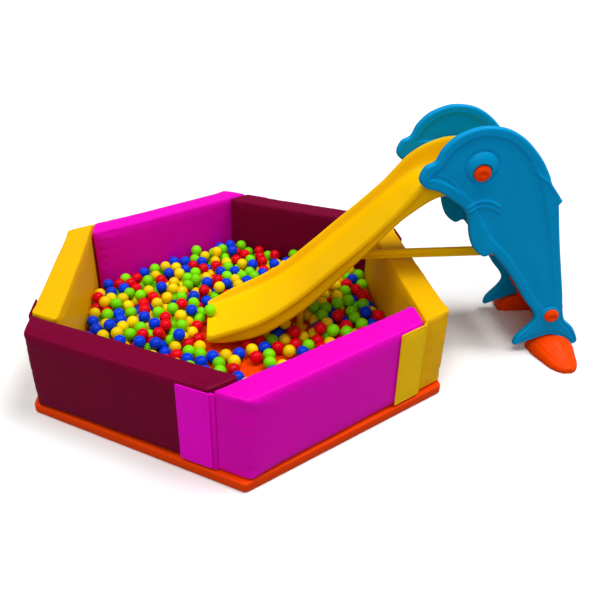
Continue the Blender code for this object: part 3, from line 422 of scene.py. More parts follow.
def prism(outline: Sequence[Sequence[float]], low: float, high: float, axis: str = "Z") -> EditMesh:
    """A closed outline carried along an axis.

    Args:
        outline: Its places in X and Y, or in X and Z where it is carried along Y.
        low: Where it starts.
        high: Where it ends.
        axis: Z or Y.

    Returns:
        The edit mesh.
    """
    mesh_edit = bmesh.new()
    if axis == "Z":
        verts = [mesh_edit.verts.new((x, y, low)) for x, y in outline]
        step = Vector((0, 0, high - low))
    else:
        verts = [mesh_edit.verts.new((x, low, z)) for x, z in outline]
        step = Vector((0, high - low, 0))
    extruded = bmesh.ops.extrude_face_region(mesh_edit, geom=[mesh_edit.faces.new(verts)])
    moved = [item for item in extruded["geom"] if isinstance(item, bmesh.types.BMVert)]
    bmesh.ops.translate(mesh_edit, verts=moved, vec=step)
    bmesh.ops.recalc_face_normals(mesh_edit, faces=mesh_edit.faces)
    return mesh_edit


def brick(size: Point, middle: Point) -> EditMesh:
    """A closed box.

    Args:
        size: Its lengths.
        middle: Its middle.

    Returns:
        The edit mesh.
    """
    mesh_edit = bmesh.new()
    bmesh.ops.create_cube(mesh_edit, size=1)
    bmesh.ops.scale(mesh_edit, verts=mesh_edit.verts, vec=size)
    bmesh.ops.translate(mesh_edit, verts=mesh_edit.verts, vec=middle)
    return mesh_edit


def rounded(mesh_edit: EditMesh, edges: Sequence[bmesh.types.BMEdge], width: float, segments: int) -> None:
    """Rounds some edges."""
    bmesh.ops.bevel(
        mesh_edit, geom=list(edges), offset=width, segments=segments, profile=0.5, affect="EDGES", clamp_overlap=True
    )


def sharp_edges(mesh_edit: EditMesh, angle: float = math.radians(32)) -> list[bmesh.types.BMEdge]:
    """The edges where two faces meet at more than an angle."""
    mesh_edit.normal_update()
    return [e for e in mesh_edit.edges if len(e.link_faces) == 2 and e.calc_face_angle() > angle]


def bead(points: Sequence[Sequence[float]], radius: float, sides: int) -> EditMesh:
    """A round bead along a closed path.

    Args:
        points: The path.
        radius: The bead's radius.
        sides: Points in each section.

    Returns:
        The edit mesh.
    """
    path = np.asarray(points, float)
    path = np.vstack([path, path[:1]])
    ahead = np.roll(path, -1, 0) - path
    ahead[-1] = ahead[0]
    behind = path - np.roll(path, 1, 0)
    behind[0] = behind[-1]
    along = ahead + behind
    along /= np.linalg.norm(along, axis=1, keepdims=True)
    helper = np.where(np.abs(along[:, 2:]) < 0.9, np.array([[0.0, 0.0, 1.0]]), np.array([[1.0, 0.0, 0.0]]))
    across = np.cross(along, helper)
    across /= np.linalg.norm(across, axis=1, keepdims=True)
    up = np.cross(across, along)
    turns = np.linspace(0, 2 * math.pi, sides, endpoint=False)
    ring = np.cos(turns)[None, :, None] * across[:, None] + np.sin(turns)[None, :, None] * up[:, None]
    mesh_edit = swept(path[:, None] + radius * ring, capped=False)
    bmesh.ops.remove_doubles(mesh_edit, verts=mesh_edit.verts, dist=1e-5)
    return mesh_edit


def turned_shape(profile: Sequence[Pair], at: Point, steps: int, axis: str = "Z") -> EditMesh:
    """A profile spun once round.

    Args:
        profile: Radius and height of its points. It is closed where it doesn't start on the axis.
        at: Where the axis starts.
        steps: Faces round the axis.
        axis: Z, or Y with the height outwards along +Y.

    Returns:
        The edit mesh.
    """
    mesh_edit = bmesh.new()
    verts = [mesh_edit.verts.new((radius, 0, height)) for radius, height in profile]
    closed = profile[0][0] > 1e-6
    pairs = list(zip(verts, verts[1:])) + ([(verts[-1], verts[0])] if closed else [])
    edges = [mesh_edit.edges.new(pair) for pair in pairs]
    start, spun = (0, 0, 0), {"angle": 2 * math.pi, "steps": steps, "use_merge": True}
    bmesh.ops.spin(mesh_edit, geom=verts + edges, cent=start, axis=(0, 0, 1), dvec=start, **spun)
    bmesh.ops.remove_doubles(mesh_edit, verts=mesh_edit.verts, dist=1e-5)
    if axis == "Y":
        bmesh.ops.rotate(mesh_edit, verts=mesh_edit.verts, matrix=Matrix.Rotation(-math.pi / 2, 3, "X"))
    bmesh.ops.translate(mesh_edit, verts=mesh_edit.verts, vec=at)
    bmesh.ops.recalc_face_normals(mesh_edit, faces=mesh_edit.faces)
    return mesh_edit


def joined(parts: Iterable[EditMesh]) -> EditMesh:
    """Several edit meshes as one, with the others freed.

    Args:
        parts: The edit meshes.

    Returns:
        One edit mesh with all their faces.
    """
    whole = bmesh.new()
    for part in parts:
        mesh = mesh_of("part", part)
        whole.from_mesh(mesh)
        bpy.data.meshes.remove(mesh)
    return whole


def with_modifiers(mesh_edit: EditMesh, add: Callable[[bpy.types.Object], None]) -> EditMesh:
    """Puts an edit mesh through modifiers.

    Args:
        mesh_edit: The shape, which is freed.
        add: What adds the modifiers to a passing object.

    Returns:
        The result.
    """
    passing = linked("passing", mesh_of("passing", mesh_edit))
    add(passing)
    depsgraph = bpy.context.evaluated_depsgraph_get()
    result = bmesh.new()
    result.from_mesh(bpy.data.meshes.new_from_object(passing.evaluated_get(depsgraph)))
    bpy.data.objects.remove(passing)
    return result


def remeshed(mesh_edit: EditMesh, voxel: float) -> EditMesh:
    """Covers a closed shape with even quads.

    Args:
        mesh_edit: The shape, which is freed.
        voxel: About the size of a quad.

    Returns:
        The result.
    """

    def add(passing: bpy.types.Object) -> None:
        """Adds the remesh."""
        remesh = passing.modifiers.new("even", "REMESH")
        remesh.mode = "VOXEL"
        remesh.voxel_size = voxel

    return with_modifiers(mesh_edit, add)


def bored(mesh_edit: EditMesh, bores: Iterable[EditMesh], soften: float = 0.0) -> EditMesh:
    """The closed shape with other closed shapes cut from it.

    Args:
        mesh_edit: The shape, which is freed.
        bores: The shapes that are cut away, which are freed.
        soften: Width of a bevel on the edges that are sharp afterwards, if any.

    Returns:
        The edit mesh.
    """
    cutter = linked("bores", mesh_of("bores", joined(bores)))

    def add(passing: bpy.types.Object) -> None:
        """Adds the cut and the bevel."""
        cut = passing.modifiers.new("bores", "BOOLEAN")
        cut.operation, cut.solver, cut.object = "DIFFERENCE", "EXACT", cutter
        if soften:
            soft = passing.modifiers.new("soft", "BEVEL")
            soft.width, soft.segments, soft.limit_method = soften, 2, "ANGLE"
            soft.angle_limit = math.radians(35)

    result = with_modifiers(mesh_edit, add)
    bpy.data.objects.remove(cutter)
    return result


def bolt_bores(at: Pair, reach: float = 0.0147) -> list[EditMesh]:
    """A shallow bore from each side for the inner ends of a pair of bolts.

    Args:
        at: The bolts' axis in the slide's X and Z.
        reach: How far the bolts come in from the panels.

    Returns:
        The two bores.
    """
    x, z = at
    found = []
    for side in (-1, 1):
        inner, outer = sorted((side * (PANEL_INNER - reach - 0.0006), side * (PANEL_INNER + 0.01)))
        found.append(turned_shape([(0, inner), (0.0205, inner), (0.0205, outer), (0, outer)], (x, 0, z), 32, "Y"))
    return found


def node_places(name: str) -> list[Vector]:
    """All vertex places of a CAD node at rest."""
    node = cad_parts[name]
    return [node.matrix_world @ vert.co for vert in node.data.vertices]


def coordinates(mesh_edit: EditMesh) -> np.ndarray:
    """All vertex places as an array."""
    return np.array([vert.co for vert in mesh_edit.verts])


def set_coordinates(mesh_edit: EditMesh, places: np.ndarray) -> None:
    """Moves every vertex to its place in the array."""
    for vert, place in zip(mesh_edit.verts, places):
        vert.co = place


# ---------------------------------------------------------------------------------------------------------------
# Curves and reliefs


def compass(angle: float) -> np.ndarray:
    """The level unit vector at an angle."""
    return np.array([math.cos(angle), math.sin(angle)])


def eased(value: np.ndarray | float, low: float, high: float) -> np.ndarray:
    """0 below low, 1 above high, and smooth between."""
    share = np.clip((np.asarray(value, float) - low) / (high - low), 0, 1)
    return share * share * (3 - 2 * share)


def plateau(value: np.ndarray | float, low: float, high: float) -> np.ndarray:
    """1 in the middle of a range and 0 at its ends and outside, with a flat top."""
    share = np.clip((np.asarray(value, float) - low) / (high - low), 0, 1)
    return 1 - (2 * share - 1) ** 4


def bell(value: np.ndarray, at: float, reach: float) -> np.ndarray:
    """1 at a value, and falling off smoothly within a reach of it."""
    return np.exp(-(((value - at) / reach) ** 2))


def moulded(away: np.ndarray, line: Moulding) -> np.ndarray:
    """The relief of a moulded line: its rise, its reach, and the distance at which it is highest or deepest."""
    rise, reach, at = line
    return rise * bell(away, at, reach)


def waves(places: np.ndarray, scale: float, seed: float) -> np.ndarray:
    """Smooth noise from about -1 to 1 at each place."""
    return np.array([noise.noise(Vector(p) * scale + Vector((seed, seed * 1.7, -seed))) for p in places])


def distance_to_loop(places: np.ndarray, loop: np.ndarray) -> np.ndarray:
    """Signed distance of places from a closed loop, positive inside.

    Args:
        places: 2-D places.
        loop: The loop's corners.

    Returns:
        One distance for each place.
    """
    starts, ends = loop, np.roll(loop, -1, 0)
    along = ends - starts
    squared = (along**2).sum(1)
    result = np.empty(len(places))
    for first in range(0, len(places), 4000):
        chunk = places[first : first + 4000, None]
        share = np.clip(((chunk - starts) * along).sum(2) / squared, 0, 1)
        nearest = np.sqrt(((chunk - starts - share[..., None] * along) ** 2).sum(2)).min(1)
        above = (starts[:, 1] > chunk[..., 1]) != (ends[:, 1] > chunk[..., 1])
        with np.errstate(divide="ignore", invalid="ignore"):
            crossing = starts[:, 0] + (chunk[..., 1] - starts[:, 1]) / (ends[:, 1] - starts[:, 1]) * along[:, 0]
        inside = (above & (chunk[..., 0] < crossing)).sum(1) % 2 == 1
        result[first : first + 4000] = np.where(inside, nearest, -nearest)
    return result


def distance_to_path(places: np.ndarray, path: Sequence[Sequence[float]]) -> np.ndarray:
    """Distance of places from an open path.

    Args:
        places: 2-D places.
        path: The path's points.

    Returns:
        One distance for each place.
    """
    path = np.asarray(path, float)
    best = np.full(len(places), np.inf)
    for start, end in zip(path, path[1:]):
        along = end - start
        share = np.clip((places - start) @ along / (along @ along), 0, 1)
        best = np.minimum(best, np.linalg.norm(places - start - share[:, None] * along, axis=1))
    return best


def curve_through(points: Sequence[Sequence[float]], count: int) -> np.ndarray:
    """A smooth open curve.

    Args:
        points: Points of any dimension that it goes through.
        count: How many places are wanted.

    Returns:
        The places, evenly spread by point number.
    """
    points = np.asarray(points, float)
    padded = np.vstack([2 * points[0] - points[1], points, 2 * points[-1] - points[-2]])
    places = []
    for position in np.linspace(0, len(points) - 1, count):
        index = min(int(position), len(points) - 2)
        t = position - index
        before, start, end, after = padded[index : index + 4]
        squares = (2 * before - 5 * start + 4 * end - after) * t**2
        cubes = (3 * start - 3 * end + after - before) * t**3
        places.append(0.5 * (2 * start + (end - before) * t + squares + cubes))
    return np.array(places)


def closed_curve(points: Sequence[tuple], pieces: int | None = None) -> np.ndarray:
    """A smooth closed curve.

    Args:
        points: Its points as (x, z), or (x, z, True) where it has a corner.
        pieces: How many places each stretch gets, in place of one about every 12 mm.

    Returns:
        An array of places.
    """
    count = len(points)

    def tangent(index: int, towards: int) -> Vector:
        """The curve's direction as it leaves a point, or for towards -1 as it arrives there.

        Args:
            index: The point.
            towards: 1 for the way on along the curve or -1 for the way back.

        Returns:
            The direction, with the length that the curve takes there.
        """
        x, z, *corner = points[index]
        if corner:
            other = points[(index + towards) % count]
            return Vector(((other[0] - x) * towards, (other[1] - z) * towards))
        before, after = points[index - 1], points[(index + 1) % count]
        return Vector((after[0] - before[0], after[1] - before[1])) / 2

    found = []
    for index in range(count):
        start, end = Vector(points[index][:2]), Vector(points[(index + 1) % count][:2])
        leave, arrive = tangent(index, 1), tangent((index + 1) % count, -1)
        reach = (end - start).length
        leave *= min(1, reach / max(leave.length, 1e-6))
        arrive *= min(1, reach / max(arrive.length, 1e-6))
        parts = pieces or max(1, math.ceil(reach / 0.012))
        for t in (part / parts for part in range(parts)):
            ends = (2 * t**3 - 3 * t**2 + 1) * start + (t**3 - 2 * t**2 + t) * leave
            found.append(tuple(ends + (3 * t**2 - 2 * t**3) * end + (t**3 - t**2) * arrive))
    return np.array(found)


# ---------------------------------------------------------------------------------------------------------------
# Pit


class Block(Enum):
    """The wall blocks, counted round the pit from the front left corner, with their finishes."""

    FRONT_LEFT = (0, Finishes.MAROON)
    FRONT_RIGHT = (1, Finishes.MAGENTA)
    RIGHT = (2, Finishes.YELLOW)
    BACK_RIGHT = (3, Finishes.MAROON)
    BACK_LEFT = (4, Finishes.MAGENTA)
    LEFT = (5, Finishes.YELLOW)

    @property
    def label(self) -> str:
        """The block's name in node names."""
        return self.name.lower()

    @property
    def index(self) -> int:
        """The block's number round the pit."""
        return self.value[0]

    @property
    def finish(self) -> Finishes:
        """The block's vinyl."""
        return self.value[1]


def side_frame(index: int) -> Matrix:
    """The frame of one side: at its first outer corner, X along the outer face and Y into the pit."""
    around = FIRST_CORNER + TURN * index
    corner = (SIDE * math.cos(around), SIDE * math.sin(around), 0)
    return Matrix.Translation(corner) @ Matrix.Rotation(around + 2 * TURN, 4, "Z")


@dataclass
class Upholstery:
    """Blown-up skins over foam, from a cloth simulation of a slightly smaller closed shape."""

    voxel: float = 0.009
    reach: float = 0.009
    pressure: float = 4.0
    frames: int = 20

    def skin(self, mesh_edit: EditMesh) -> EditMesh:
        """Simulates the skin.

        Args:
            mesh_edit: The closed shape to start from, which is freed.

        Returns: The swollen skin, once subdivided.
        """
        even = remeshed(mesh_edit, self.voxel)
        rest = coordinates(even)
        moved = self._blown(even) - rest
        length = np.linalg.norm(moved, axis=1, keepdims=True)
        set_coordinates(even, rest + moved * self.reach / (length + self.reach))

        def add(passing: bpy.types.Object) -> None:
            """Adds one subdivision."""
            finer = passing.modifiers.new("finer", "SUBSURF")
            finer.levels = finer.render_levels = 1

        return with_modifiers(even, add)

    def _blown(self, even: EditMesh) -> np.ndarray:
        """Vertex places after the simulation, with nothing applied to the given shape.

        Args:
            even: The shape that is blown up, in even quads.

        Returns:
            The places.
        """
        blown = linked("blown", mesh_of("blown", even.copy()))
        cloth = blown.modifiers.new("cloth", "CLOTH")
        settings = cloth.settings
        settings.quality = 4
        settings.mass = 0.4
        settings.tension_stiffness = settings.compression_stiffness = 18
        settings.bending_stiffness = 4
        settings.use_pressure = True
        settings.uniform_pressure_force = self.pressure
        settings.effector_weights.gravity = 0
        cloth.collision_settings.use_collision = False
        cloth.point_cache.frame_end = self.frames
        scene = bpy.context.scene
        for number in range(1, self.frames + 1):
            scene.frame_set(number)
        done = blown.evaluated_get(bpy.context.evaluated_depsgraph_get()).to_mesh()
        places = np.empty(len(done.vertices) * 3)
        done.vertices.foreach_get("co", places)
        bpy.data.objects.remove(blown)
        scene.frame_set(1)
        return places.reshape(-1, 3)


@dataclass
class FoamBlocks:
    """The six wall blocks: one simulated skin, held to what stands round each block, and its own creases."""

    shrink: float = 0.005
    crown: float = 0.005
    corner_round: float = 0.015
    tip_round: float = 0.033
    wave: float = 0.0018
    pucker: float = 0.0012
    gather: float = 0.002
    welt: float = 0.0022
    # The stretches of the outer and the inner face that may swell
    outer_swell: Pair = (0.0, 0.80)
    inner_swell: Pair = (0.1, 1.0)
    # The sewn fold beside a flap: distance past the hinge along the side, and distance into the pit
    fold: tuple[Pair, ...] = (
        (-0.004, -0.001), (0.0, -0.0018), (0.004, -0.0021), (0.008, -0.0015), (0.014, 0.0002),
        (0.022, 0.002), (0.022, 0.007), (0.004, 0.008), (-0.004, 0.004),
    )  # fmt: skip

    def build(self) -> None:
        """Makes every block's skin, its welt and the fold beside its flap."""
        shape = Upholstery().skin(self._start())
        base = coordinates(shape)
        for block in Block:
            skin = shape.copy()
            set_coordinates(skin, self._held(base + self._creases(base, skin, block.index)))
            surface = BVHTree.FromBMesh(skin)
            replaced = (f"wall_cover_{block.label}", f"wall_foam_{block.label}")
            place = side_frame(block.index)
            made = piece(f"wall_skin_{block.label}", skin, block.finish, "pit", place, replaced)
            piece(f"wall_welt_{block.label}", self._welt(surface), block.finish, "pit", place)
            fold = prism([(BLOCK_SHORT + x, y) for x, y in self.fold], WALL_BOTTOM + 0.006, FLAP_TOP - 0.003)
            rounded(fold, sharp_edges(fold), 0.0015, 2)
            piece(f"hinge_fold_{block.label}", fold, block.finish, "pit", side_frame(block.index - 1))
        shape.free()

    def _start(self) -> EditMesh:
        """The closed shape that the skin is blown up from.

        Returns:
            The closed shape.
        """
        cut = self.shrink
        outline = (
            (cut * 0.6, cut),
            (BLOCK_SHORT - cut * 0.6, cut),
            (BLOCK_SHORT + SKEW - cut * 1.7, WALL_THICK - cut),
            (-SKEW + cut * 0.6, WALL_THICK - cut * 0.5),
        )
        block = prism(outline, WALL_BOTTOM + cut / 2, WALL_TOP - cut)

        def uprights(places: Sequence[Pair]) -> list[bmesh.types.BMEdge]:
            """The upright edges at some corners.

            Args:
                places: The corners' places.

            Returns:
                The edges.
            """
            return [
                e
                for e in block.edges
                if (e.verts[0].co.xy - e.verts[1].co.xy).length < 1e-5
                and any((e.verts[0].co.xy - Vector(p)).length < 1e-4 for p in places)
            ]

        rounded(block, uprights(outline[:2]), self.corner_round, 4)
        rounded(block, uprights(outline[2:3]), self.tip_round, 5)
        rounded(block, sharp_edges(block), WALL_ROUND, 3)
        return block

    def _creases(self, base: np.ndarray, skin: EditMesh, seed: int) -> np.ndarray:
        """Slight waves in the vinyl, and puckers that run in from the top edges and the ends.

        Args:
            base: The places before the creases.
            skin: The skin, for its normals.
            seed: A number that makes each block's creases its own.

        Returns:
            How far each place moves.
        """
        skin.normal_update()
        normals = np.array([vert.normal for vert in skin.verts])
        soft = waves(base, 4.5, seed * 3.1) * self.wave
        x, z = base[:, 0], base[:, 2]
        near_end = bell(np.minimum(np.abs(x), np.abs(x - BLOCK_SHORT)), 0, 0.08)
        pucker = waves(base * (1.0, 1.0, 0.15), 38.0, seed * 5.3) * self.pucker * bell(z, WALL_TOP, 0.05)
        gather = waves(base * (0.15, 0.15, 1.0), 30.0, seed * 7.7) * self.gather * near_end
        return normals * (soft + pucker + gather)[:, None]

    def _held(self, places: np.ndarray) -> np.ndarray:
        """Keeps a block out of the mat, the strips under the flaps and the next blocks.

        Args:
            places: Vertex places in the side's frame.

        Returns:
            The places, held.
        """
        held = places.copy()
        held[:, 2] = np.clip(held[:, 2], WALL_BOTTOM, WALL_TOP + self.crown * 0.8)
        x = held[:, 0]
        held[:, 1] = np.maximum(held[:, 1], -self.crown * plateau(x, *self.outer_swell))
        held[:, 1] = np.minimum(held[:, 1], WALL_THICK + self.crown * plateau(x, *self.inner_swell))
        for normal, start in ((-compass(TURN / 2), 0.0), (compass(-TURN / 2), BLOCK_SHORT)):
            past = (held[:, :2] - (start, 0.0)) @ normal
            held[:, :2] -= np.maximum(past, 0)[:, None] * normal
        return held

    def _welt(self, surface: BVHTree) -> EditMesh:
        """A sewn welt along the top edge, laid on the skin itself.

        Args:
            surface: The skin as a search tree.

        Returns:
            The welt.
        """
        corners = [(0.0, 0.0), (BLOCK_SHORT, 0.0), (BLOCK_SHORT + SKEW, WALL_THICK), (-SKEW, WALL_THICK)]
        middle = Vector((BLOCK_SHORT / 2, WALL_THICK / 2, (WALL_TOP + WALL_BOTTOM) / 2))
        path = []
        for start, end in zip(corners, corners[1:] + corners[:1]):
            steps = max(3, int(math.dist(start, end) / 0.02))
            for share in (step / steps for step in range(steps)):
                aim = Vector([*(a + (b - a) * share for a, b in zip(start, end)), WALL_TOP])
                path.append(surface.find_nearest(aim)[0] - (aim - middle).normalized() * self.welt * 0.3)
        return bead(path, self.welt, 8)


@dataclass
class CornerFlaps:
    """The six flaps over the corners: flat padded vinyl with a stitched border, sewn along one edge, painted lighter
    than the blocks as painted light.
    """

    width: float = 0.158
    thick: float = 0.0066
    low: float = 0.0623
    standoff: float = 0.0029
    border: float = 0.012
    stitch: float = 0.0016
    swell: float = 0.0018
    ripple: float = 0.0006
    corner_round: float = 0.009
    edge_round: float = 0.0035
    voxel: float = 0.0027
    # How much lighter the flaps are painted than the blocks: painted light, since the flaps catch more light
    tone: float = 0.85

    def build(self) -> None:
        """Makes every flap on its hinge."""
        for block in Block:
            name, place = f"flap_skin_{block.label}", side_frame(block.index - 1)
            flap, body = self._shape(block.index), f"flap_{block.label}"
            made = piece(name, flap, block.finish, body, place, (f"closure_flap_{block.label}",))
            # Painted light: the whole flap is painted lighter than the block beside it
            give_tone(made, [self.tone] * len(made.data.vertices))

    def _shape(self, seed: int) -> EditMesh:
        """One flap in the frame of the side that it lies on.

        Args:
            seed: A number that makes its ripples its own.

        Returns:
            The flap.
        """
        x0, x1, low, high = BLOCK_SHORT - self.width, BLOCK_SHORT, self.low, FLAP_TOP
        y0, y1 = -self.standoff - self.thick, -self.standoff
        slab = prism(((x0, y0), (x1, y0), (x1, y1), (x0, y1)), low, high)
        across = [e for e in slab.edges if abs(e.verts[0].co.y - e.verts[1].co.y) > self.thick / 2]
        rounded(slab, across, self.corner_round, 3)
        rounded(slab, sharp_edges(slab), self.edge_round, 2)
        roll = self.thick / 2
        profile = [(0, low + 0.004), (roll - 0.001, low + 0.004), (roll, low + 0.006)]
        profile += [(roll, high - 0.006), (roll - 0.001, high - 0.004), (0, high - 0.004)]
        even = remeshed(joined([slab, turned_shape(profile, (x1, (y0 + y1) / 2, 0), 16)]), self.voxel)
        places = coordinates(even)
        x, y, z = places.T
        inset = np.minimum(np.minimum(x - x0, x1 - x), np.minimum(z - low, high - z))
        outward = np.clip((y1 - y) / self.thick, 0, 1)
        stitch = -self.stitch * bell(inset, self.border, 0.0025)
        swell = self.swell * eased(inset, self.border, 0.05)
        ripple = waves(places, 11.0, seed * 2.3) * self.ripple
        places[:, 1] = np.minimum(y - outward * (stitch + swell + ripple), y1)
        set_coordinates(even, places)
        return even


@dataclass
class FloorMat:
    """The mat under the walls and the balls: one foam hexagon in a sewn cover."""

    apothem: float = 1.008
    heading: float = math.radians(-1)
    corner_round: float = 0.022
    edge_round: float = 0.01
    dent: float = 0.0025
    side_wave: float = 0.0012
    welt: float = 0.002

    def outline(self, apothem: float) -> np.ndarray:
        """The hexagon with rounded corners.

        Args:
            apothem: Distance of its sides from the middle.

        Returns:
            Its places in X and Y.
        """
        found = []
        radius = self.corner_round
        reach = (apothem - radius) / math.cos(TURN / 2)
        for k in range(6):
            middle = FIRST_CORNER + self.heading + TURN * k
            centre, ahead = reach * compass(middle), reach * compass(middle + TURN)
            found += [centre + radius * compass(middle + TURN * share) for share in np.linspace(-0.5, 0.5, 7)]
            edge = radius * compass(middle + TURN / 2)
            start, end = centre + edge, ahead + edge
            found += [start + (end - start) * share for share in np.linspace(0, 1, 42)[1:-1]]
        return np.array(found)

    def build(self) -> None:
        """Makes the mat and its welts."""
        r, quarter = self.edge_round, np.linspace(0, math.pi / 2, 6)
        stations = [(self.apothem * (1 - s) + r * s, MAT_THICK) for s in np.linspace(0.02, 1, 40)]
        stations += [(r - r * math.sin(turn), MAT_THICK - r + r * math.cos(turn)) for turn in quarter[1:]]
        stations += [(r - r * math.cos(turn), MAT_BOTTOM + r - r * math.sin(turn)) for turn in quarter]
        stations += [(self.apothem * (1 - s) + r * s, MAT_BOTTOM) for s in np.linspace(0.9, 0.02, 8)]
        full = self.outline(self.apothem)
        rows = []
        for inset, z in stations:
            share = 1 - inset / self.apothem
            rows.append(np.column_stack([full * share, np.full(len(full), z)]))
        mat = swept(np.array(rows))
        places = coordinates(mat)
        radius = np.linalg.norm(places[:, :2], axis=1)
        inside = eased(INNER_APOTHEM - radius, 0.02, 0.12) * (places[:, 2] > MAT_THICK / 2)
        dents = waves(places, 5.0, 4.0) * self.dent - self.dent
        side = eased(radius, 0.98, 1.0) * (np.abs(places[:, 2] - 0.026) < 0.022)
        places[:, 2] += inside * dents
        places[:, :2] *= 1 + (waves(places, 9.0, 8.0) * self.side_wave * side)[:, None]
        set_coordinates(mat, places)
        made = piece("mat_skin", mat, Finishes.ORANGE, "pit", None, ("mat_cover", "mat_foam"))
        ring = self.outline(self.apothem - r * 0.25)
        for label, z in (("upper", MAT_THICK - r * 0.45), ("lower", MAT_BOTTOM + r * 0.45)):
            welt = bead(np.column_stack([ring, np.full(len(ring), z)]), self.welt, 6)
            piece(f"mat_welt_{label}", welt, Finishes.ORANGE, "pit")


# ---------------------------------------------------------------------------------------------------------------
# Balls


@dataclass
class LooseBalls:
    """The balls: a floor layer, balls in its hollows, and a few more where the heap is highest.

    Near the front there is only a thin layer, so the mat shows between the balls.
    """

    chute: Chute
    seed: int = 11
    floor_count: int = 455
    gap: float = 0.0005
    push_rounds: int = 260
    push_share: float = 0.42
    sparse_share: float = 0.5
    heap_tries: int = 10
    heap_refusals: int = 260
    heap_spread: float = 0.98
    heap_top: float = 0.178
    heap_tilt: float = 0.02
    hollow_depth: float = 0.13
    leg_room: float = 0.025
    foot_room: float = 0.047
    foot_top: float = 0.12
    neighbours: float = 0.16
    roll_steps: Pair = (0.012, 0.0008)
    # How far the ball on the chute is past its low end and from its middle
    lone_ball: Pair = (0.016, 0.05)
    # Middle and reach of the low place in the heap, and of the sparse place in the floor layer
    hollow: tuple[Pair, Pair] = ((0.14, -0.52), (0.30, 0.22))
    sparse: tuple[Pair, Pair] = ((0.16, -0.48), (0.26, 0.20))
    # Middle, reach and rise of each place where the heap is higher
    peaks: tuple[tuple[float, float, float, float], ...] = (
        (-0.80, 0.05, 0.28, 0.055),
        (-0.15, 0.86, 0.35, 0.035),
        (0.55, 0.55, 0.2, 0.035),
    )
    # Each colour with its share of the balls
    colours: tuple[tuple[Finishes, int], ...] = (
        (Finishes.BALL_RED, 24),
        (Finishes.BALL_YELLOW, 27),
        (Finishes.BALL_LIME, 27),
        (Finishes.BALL_BLUE, 22),
    )
    placed: list[np.ndarray] = field(default_factory=list)

    @staticmethod
    def thin(x: float, y: float, middle: Pair, reach: Pair) -> float:
        """How near a place is to the middle of the thin layer, up to 1."""
        return math.exp(-(((x - middle[0]) / reach[0]) ** 2 + ((y - middle[1]) / reach[1]) ** 2))

    def height_limit(self, x: float, y: float) -> float:
        """How high the tops of the balls may reach.

        Args:
            x: The place across the pit.
            y: The place along the pit.

        Returns:
            The height.
        """
        top = self.heap_top + self.heap_tilt * (x + y) / ACROSS_FLATS
        for peak_x, peak_y, reach, rise in self.peaks:
            top += rise * math.exp(-((x - peak_x) ** 2 + (y - peak_y) ** 2) / reach**2)
        return top - self.hollow_depth * self.thin(x, y, *self.hollow)

    def build(self) -> None:
        """Places the balls and makes one piece for each colour, and one ball that lies on the chute's low end."""
        generator = random.Random(self.seed)
        self._floor_layer(generator)
        self._heap(generator)
        LOG.info("%d balls", len(self.placed))
        colours, shares = zip(*self.colours)
        drawn = [generator.choices(colours, shares)[0] for _ in self.placed]
        for colour in colours:
            self._piece(colour, [p for p, c in zip(self.placed, drawn) if c is colour])
        x, y = CHUTE_END + self.lone_ball[0], self.lone_ball[1]
        place = Matrix.Translation((x, y, self.chute.floor(x) + BALL_RADIUS + 0.0006))
        made = piece("ball_on_chute", self.ball(), Finishes.BALL_LIME, "slide", SLIDE_FRAME @ place)
        give_tone(made, [0.9] * len(made.data.vertices))

    def _inside(self, x: float, y: float) -> float:
        """How far a place is inside the room for ball centres."""
        return BALL_ROOM - max(x * math.cos(TURN * k) + y * math.sin(TURN * k) for k in range(6))

    def _clear_of_slide(self, ball: np.ndarray) -> bool:
        """Whether a ball is clear of the chute and its leg.

        Args:
            ball: The ball's centre.

        Returns:
            Whether it is clear.
        """
        local = SLIDE_FRAME.inverted() @ Vector(ball)
        room = self.foot_room if ball[2] < self.foot_top else self.leg_room
        if math.hypot(local.x - LEG_X, local.y) < BALL_RADIUS + room:
            return False
        return self.chute.clearance(local) > BALL_RADIUS

    def _floor_layer(self, generator: random.Random) -> None:
        """Spreads the lowest layer over the mat by pushing balls apart.

        Args:
            generator: What draws the random places.
        """
        count, places = self.floor_count, []
        while len(places) < count:
            x, y = generator.uniform(-1, 1), generator.uniform(-1, 1)
            if self._inside(x, y) > 0:
                places.append((x, y))
        spots = np.array(places)
        wanted = 2 * BALL_RADIUS + self.gap
        for _ in range(self.push_rounds):
            apart = spots[:, None] - spots
            distance = np.sqrt((apart**2).sum(2)) + np.eye(count)
            push = np.clip(wanted - distance, 0, None) * (1 - np.eye(count))
            spots = spots + (apart / distance[..., None] * push[..., None]).sum(1) * self.push_share
            for normal in (compass(TURN * k) for k in range(6)):
                spots -= np.clip(spots @ normal - BALL_ROOM, 0, None)[:, None] * normal
        for x, y in spots:
            if generator.random() >= self.sparse_share * self.thin(x, y, *self.sparse):
                self._try(np.array([x, y, BALL_REST]))

    def _try(self, ball: np.ndarray, slack: float = 0.004) -> bool:
        """Keeps a ball where it touches nothing.

        Args:
            ball: Its centre.
            slack: How far it may press into the next balls.

        Returns:
            Whether it is kept.
        """
        if self.placed:
            near = np.linalg.norm(np.array(self.placed) - ball, axis=1)
            if near.min() < 2 * BALL_RADIUS - slack:
                return False
        if self._inside(ball[0], ball[1]) < -1e-4 or not self._clear_of_slide(ball):
            return False
        self.placed.append(ball)
        return True

    def _heap(self, generator: random.Random) -> None:
        """Drops balls into the deepest hollows until the heap is as high as it should be.

        Args:
            generator: What draws the random places.
        """
        refused, spread = 0, self.heap_spread
        while refused < self.heap_refusals:
            best = None
            for _ in range(self.heap_tries):
                x, y = generator.uniform(-spread, spread), generator.uniform(-spread, spread)
                if self._inside(x, y) <= 0:
                    continue
                spot = self._settled(np.array([x, y]))
                low = spot[2] + BALL_RADIUS < self.height_limit(spot[0], spot[1])
                if low and (best is None or spot[2] < best[2]):
                    best = spot
            if best is None or not self._try(best, 0.0015):
                refused += 1
            else:
                refused = max(0, refused - 2)

